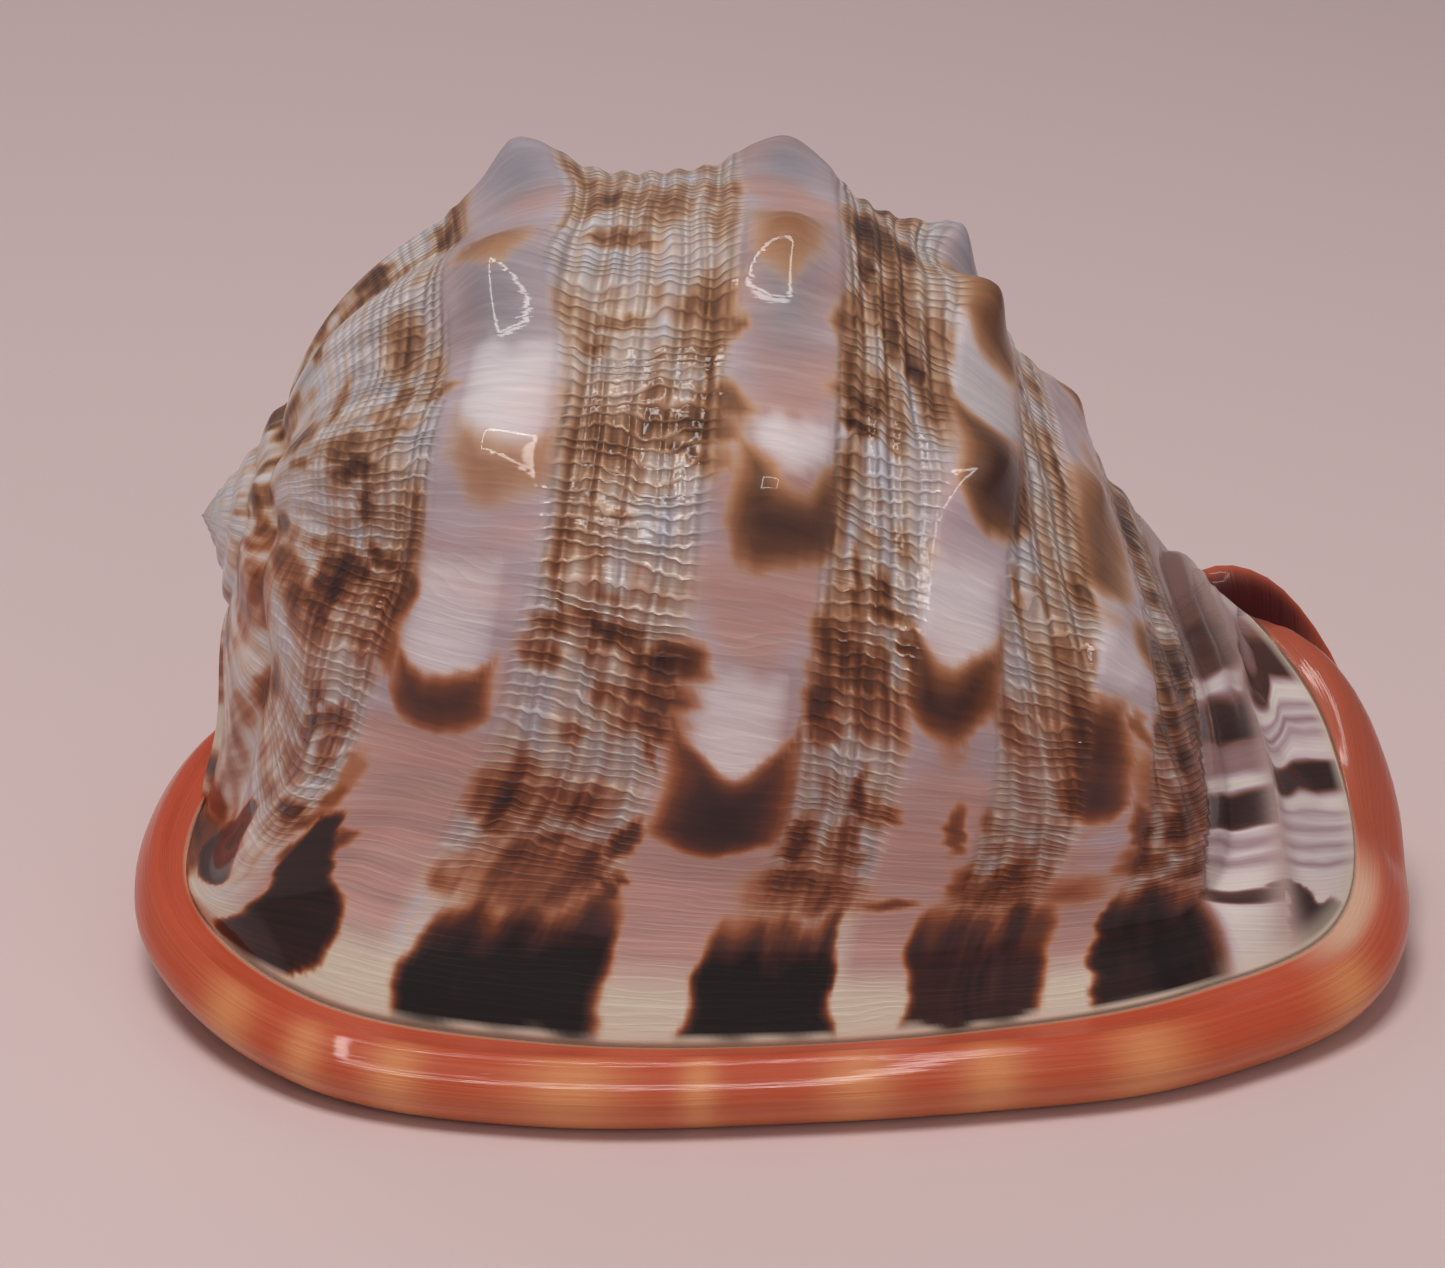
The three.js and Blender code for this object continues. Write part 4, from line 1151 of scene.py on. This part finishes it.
class Graph:
    """Short names for the nodes and links of one material."""

    def __init__(self, name):
        self.material = bpy.data.materials.new(name)
        self.material.use_nodes = True
        self.tree = self.material.node_tree
        self.shader = self.tree.nodes["Principled BSDF"]

    def set(self, socket, value):
        if isinstance(value, bpy.types.NodeSocket):
            self.tree.links.new(value, socket)
        else:
            socket.default_value = value

    def mark(self, name):
        """Value that surface_marks keeps under this name."""
        node = self.tree.nodes.new("ShaderNodeAttribute")
        node.attribute_name = name
        return node.outputs["Fac"]

    def math(self, operation, a, b=0.0, limit=False):
        node = self.tree.nodes.new("ShaderNodeMath")
        node.operation = operation
        node.use_clamp = limit
        self.set(node.inputs[0], a)
        self.set(node.inputs[1], b)
        return node.outputs[0]

    def add(self, a, b, limit=False):
        return self.math("ADD", a, b, limit)

    def times(self, a, b):
        return self.math("MULTIPLY", a, b)

    def less(self, a):
        """1 minus a."""
        return self.add(self.times(a, -1.0), 1.0)

    def swing(self, a, amount):
        """A noise around its middle, scaled."""
        return self.times(self.add(a, -0.5), amount)

    def mix(self, share, a, b, blend="MIX"):
        node = self.tree.nodes.new("ShaderNodeMix")
        node.data_type = "RGBA"
        node.blend_type = blend
        self.set(node.inputs["Factor"], share)
        self.set(node.inputs[6], a)
        self.set(node.inputs[7], b)
        return node.outputs[2]

    def ramp(self, at, stops):
        node = self.tree.nodes.new("ShaderNodeValToRGB")
        points = node.color_ramp.elements
        while len(points) < len(stops):
            points.new(0.5)
        for point, (place, red, green, blue, opacity) in zip(points, stops):
            point.position = place
            point.color = (*linear(red, green, blue)[:3], opacity)
        self.set(node.inputs["Fac"], at)
        return node.outputs["Color"], node.outputs["Alpha"]

    def noise(self, place, detail=3.0):
        node = self.tree.nodes.new("ShaderNodeTexNoise")
        node.inputs["Scale"].default_value = 1.0
        node.inputs["Detail"].default_value = detail
        node.inputs["Roughness"].default_value = 0.6
        self.set(node.inputs["Vector"], place)
        return node.outputs["Fac"]

    def place(self, x, y, z):
        node = self.tree.nodes.new("ShaderNodeCombineXYZ")
        for socket, value in zip(node.inputs, (x, y, z)):
            self.set(socket, value)
        return node.outputs[0]

    def bump(self, height, distance, strength=1.0):
        node = self.tree.nodes.new("ShaderNodeBump")
        node.inputs["Distance"].default_value = distance
        node.inputs["Strength"].default_value = strength
        self.set(node.inputs["Height"], height)
        return node.outputs["Normal"]


def streaks(g, per_row, per_column, seed, detail=3.0):
    """Noise drawn out along the growth lines, continuous around the shell."""
    reach = per_column / math.pi
    row = g.add(g.times(g.mark("row"), per_row), seed)
    turn = [g.times(g.mark(name), reach) for name in ("turn_x", "turn_y")]
    return g.noise(g.place(row, *turn), detail)


def stripes(g, clouds):
    """Pigment of the stripes at the canal end, one ramp on each side of the ridge."""
    wave = g.swing(streaks(g, 60, 24, 71.0, 1.0), 0.02)
    place = g.add(g.times(g.add(g.mark("stripe"), wave), 0.5), 0.5)
    side = g.math("GREATER_THAN", g.mark("past_ridge"), 0.0)
    _, left = g.ramp(place, [[(w + 1) / 2, 0, 0, 0, pigment] for w, pigment in STRIPES_LEFT])
    _, right = g.ramp(place, [[(w + 1) / 2, 0, 0, 0, pigment] for w, pigment in STRIPES_RIGHT])
    chosen = g.add(left, g.times(side, g.add(right, g.times(left, -1.0))))
    return g.times(chosen, g.add(g.times(clouds, 0.4), 0.8))


def growth_lines(g, lines, cord):
    """Height of the growth lines: each rises slowly and falls off steeply, arched over the cords."""
    shift = g.swing(streaks(g, 9, 14, 41.0, 2.0), 0.06)
    arch = g.times(g.times(cord, g.mark("beads")), ARCH)
    place = g.times(g.add(g.add(g.mark("column"), shift), arch), LINES_PER_COLUMN)
    rise = g.math("FRACT", place)
    fall = g.math("SMOOTH_MIN", rise, g.times(g.less(rise), 3.5))
    rib = g.math("POWER", g.math("MAXIMUM", fall, 0.001), 0.7)
    return g.times(rib, g.add(g.times(lines, 0.9), 0.5))


def ground_colour(g, lines, columns):
    """The pale ground: lilac and pink, cords in cream and frost, white patches."""
    ground = g.mix(g.mark("blush"), LILAC, PINK)
    pale_cords = g.mix(g.add(g.swing(columns, 3.0), 0.5, True), CREAM, FROST)
    growth = g.add(g.swing(streaks(g, 4, 26, 61.0, 2.0), 2.6), 0.3, True)
    ground = g.mix(g.times(growth, 0.55), ground, MAUVE)
    ground = g.mix(g.times(g.mark("zone"), 0.75), ground, pale_cords)
    ground = g.mix(g.times(g.mark("cool"), 0.8), ground, COOL)
    pale = g.add(g.mark("white"), g.swing(lines, 0.5), True)
    return g.mix(pale, ground, g.mix(g.mark("low"), WHITE, IVORY))


def brown_depth(g, columns, uneven, bead):
    """Pigment with the unevenness of the lines and the cords, and painted shade that deepens it in the
    hollows between the beads.
    """
    depth = g.mark("pigment")
    solid = g.add(g.times(g.add(depth, -0.72), -5.0), 1.0, True)
    cords = g.times(g.times(g.mark("zone"), g.add(columns, -0.5)), g.add(g.times(depth, 0.8), 0.3))
    cords = g.times(cords, g.add(g.times(solid, 0.75), 0.25))
    # painted shade: more brown in the hollows between the beads, less on their tops
    hollow_shade = g.times(g.times(g.mark("beads"), g.add(g.times(bead, -1.0), 0.55)), 0.12)
    return g.add(g.add(g.add(depth, uneven), hollow_shade), cords, True)


def painted_relief_shade(g, body, rib, bead, fine):
    """Painted shade and light: darker between the beads and between the growth lines, lighter on their tops,
    the shade tinted purple, with a fine uneven tone.
    """
    shade = g.add(g.times(g.times(g.mark("beads"), g.add(bead, -0.7)), 0.42), 1.0)
    shade = g.add(shade, g.times(g.times(g.add(rib, -0.6), g.mark("lines")), 0.07))
    shade = g.times(shade, g.add(g.swing(fine, 0.25), 1.0))
    return g.mix(1.0, body, g.place(shade, g.add(g.times(shade, 1.12), -0.12), shade), "MULTIPLY")


def mouth_colour(g, rim_lines):
    """Flange, underside, slot and canal; the canal's own dark red is deepened with painted shade."""
    mouth, _ = g.ramp(g.times(g.mark("step"), 0.1), MOUTH_RAMP)
    light = g.add(g.mark("light"), g.swing(rim_lines, 0.8), True)
    mouth = g.mix(g.times(light, 0.75), mouth, RIM_LIGHT)
    mouth = g.mix(g.times(g.mark("plate"), 0.8), mouth, PLATE)
    mouth = g.mix(g.mark("foot"), mouth, PLATE_FOOT)
    mouth = g.mix(g.mark("groove"), mouth, GROOVE)
    return g.mix(g.mark("canal"), mouth, CANAL_RED_AND_SHADE)


def shell_material():
    g = Graph("glazed_shell")
    lines = streaks(g, 9, 110, 3.0)
    fine = streaks(g, 22, 320, 11.0, 2.0)
    clouds = streaks(g, 12, 9, 20.0)
    columns = streaks(g, 70, 7, 51.0, 2.0)
    row_shift = g.swing(streaks(g, 26, 6, 31.0, 1.0), 0.02)
    cord_place = g.times(g.add(g.mark("row"), row_shift), FINE_CORDS_PER_ROW * 2 * math.pi)
    cord = g.add(g.times(g.math("COSINE", cord_place), 0.5), 0.5)
    rib = growth_lines(g, lines, cord)
    bead = g.add(g.times(rib, g.add(g.times(cord, 0.4), 0.6)), g.times(cord, 0.3))

    stain = g.add(g.swing(lines, 0.4), g.swing(fine, 0.16))
    uneven = g.times(stain, g.add(g.times(g.mark("pigment"), 0.6), 0.06))
    depth = brown_depth(g, columns, uneven, bead)
    brown, opacity = g.ramp(depth, PIGMENT_RAMP)
    golden, _ = g.ramp(depth, GOLDEN_RAMP)
    body = g.mix(opacity, ground_colour(g, lines, columns), g.mix(g.mark("gold"), brown, golden))
    striped_depth = g.math("MAXIMUM", g.mark("pigment"), stripes(g, clouds))
    striped, _ = g.ramp(g.add(striped_depth, uneven), END_RAMP)
    # painted shade and light of the beads and growth lines go into the body colour
    body = painted_relief_shade(g, g.mix(g.mark("end"), body, striped), rib, bead, fine)
    body = g.mix(g.times(g.mark("ridge"), 0.8), body, RIDGE)
    body = g.mix(g.mark("veil"), body, VEIL)

    rim_place = g.times(g.mark("row"), 6.0), g.times(g.mark("step"), 9.0), g.mark("turn_y")
    rim_lines = g.noise(g.place(*rim_place))
    is_mouth = g.math("GREATER_THAN", g.mark("step"), 0.02)
    g.set(g.shader.inputs["Base Color"], g.mix(is_mouth, body, mouth_colour(g, rim_lines)))

    faint = g.times(g.add(g.times(rib, 0.06), g.times(lines, 0.14)), g.mark("lines"))
    faint = g.times(faint, g.add(g.times(depth, -0.7), 1.0))
    on_flange = g.math("MULTIPLY", g.mark("step"), 1.2, True)
    height = g.add(g.times(g.mark("beads"), bead), faint)
    height = g.add(height, g.times(rim_lines, g.times(on_flange, 0.3)))
    g.set(g.shader.inputs["Normal"], g.bump(height, RELIEF))
    g.set(g.shader.inputs["Coat Normal"], g.bump(height, RELIEF, GLAZE_STRENGTH))
    g.set(g.shader.inputs["Roughness"], g.add(g.times(clouds, 0.14), 0.36))
    g.set(g.shader.inputs["Coat Weight"], g.add(g.times(g.mark("canal"), -0.45), 0.55))
    g.shader.inputs["Coat Roughness"].default_value = COAT_ROUGHNESS
    g.shader.inputs["Specular IOR Level"].default_value = SPECULAR_LEVEL
    return g.material


def turned_to(place, target):
    return (Vector(target) - Vector(place)).to_track_quat("-Z", "Y")


def add_camera():
    data = bpy.data.cameras.new("camera")
    data.lens = CAMERA_LENS
    data.sensor_width = SENSOR_WIDTH
    data.sensor_fit = "HORIZONTAL"
    data.clip_start = 0.01
    data.clip_end = 200
    camera = bpy.data.objects.new("camera", data)
    camera.location = CAMERA_PLACE
    camera.rotation_euler = turned_to(CAMERA_PLACE, CAMERA_TARGET).to_euler()
    bpy.context.collection.objects.link(camera)
    bpy.context.scene.camera = camera


def add_light(name, place, target, size, power, colour):
    data = bpy.data.lights.new(name, "AREA")
    data.shape = "RECTANGLE"
    data.size = size[0]
    data.size_y = size[1]
    data.energy = power
    data.color = colour
    light = bpy.data.objects.new(name, data)
    light.location = place
    light.rotation_euler = turned_to(place, target).to_euler()
    bpy.context.collection.objects.link(light)
    return light


def add_gloss_frame():
    """Four thin lamps in a rectangle: their outline shows on the glazed knobs."""
    turn = turned_to(FRAME_PLACE, FRAME_TARGET)
    wide, high = FRAME_SIZE
    for k, (x, y) in enumerate(((0, 1), (0, -1), (1, 0), (-1, 0))):
        offset = turn @ Vector((x * wide / 2, y * high / 2, 0))
        place = Vector(FRAME_PLACE) + offset
        target = Vector(FRAME_TARGET) + offset
        size = (wide, FRAME_BAR) if x == 0 else (FRAME_BAR, high)
        lamp = add_light("frame_%d" % k, place, target, size, FRAME_GLOW * size[0] * size[1], FRAME_COLOUR)
        lamp.visible_diffuse = False


def add_studio():
    for lamp in LAMPS:
        add_light(*lamp).visible_glossy = False
    add_gloss_frame()
    world = bpy.data.worlds.new("studio")
    world.use_nodes = True
    background = world.node_tree.nodes["Background"]
    background.inputs["Color"].default_value = (*WORLD_COLOUR, 1)
    background.inputs["Strength"].default_value = WORLD_STRENGTH
    bpy.context.scene.world = world
    bpy.context.scene.view_settings.view_transform = "Standard"


def add_floor():
    mesh = bpy.data.meshes.new("floor")
    half = FLOOR_SIZE / 2
    corners = [(-half, -half, 0), (half, -half, 0), (half, half, 0), (-half, half, 0)]
    mesh.from_pydata(corners, [], [(0, 1, 2, 3)])
    floor = bpy.data.objects.new("floor", mesh)
    material = bpy.data.materials.new("floor")
    material.use_nodes = True
    shader = material.node_tree.nodes["Principled BSDF"]
    shader.inputs["Base Color"].default_value = (*FLOOR_COLOUR, 1)
    shader.inputs["Roughness"].default_value = FLOOR_ROUGHNESS
    mesh.materials.append(material)
    bpy.context.collection.objects.link(floor)


add_camera()
add_studio()
add_floor()
shell = make_shell()
shell.data.materials.append(shell_material())
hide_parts("helmet_shell")
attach(shell, "root")
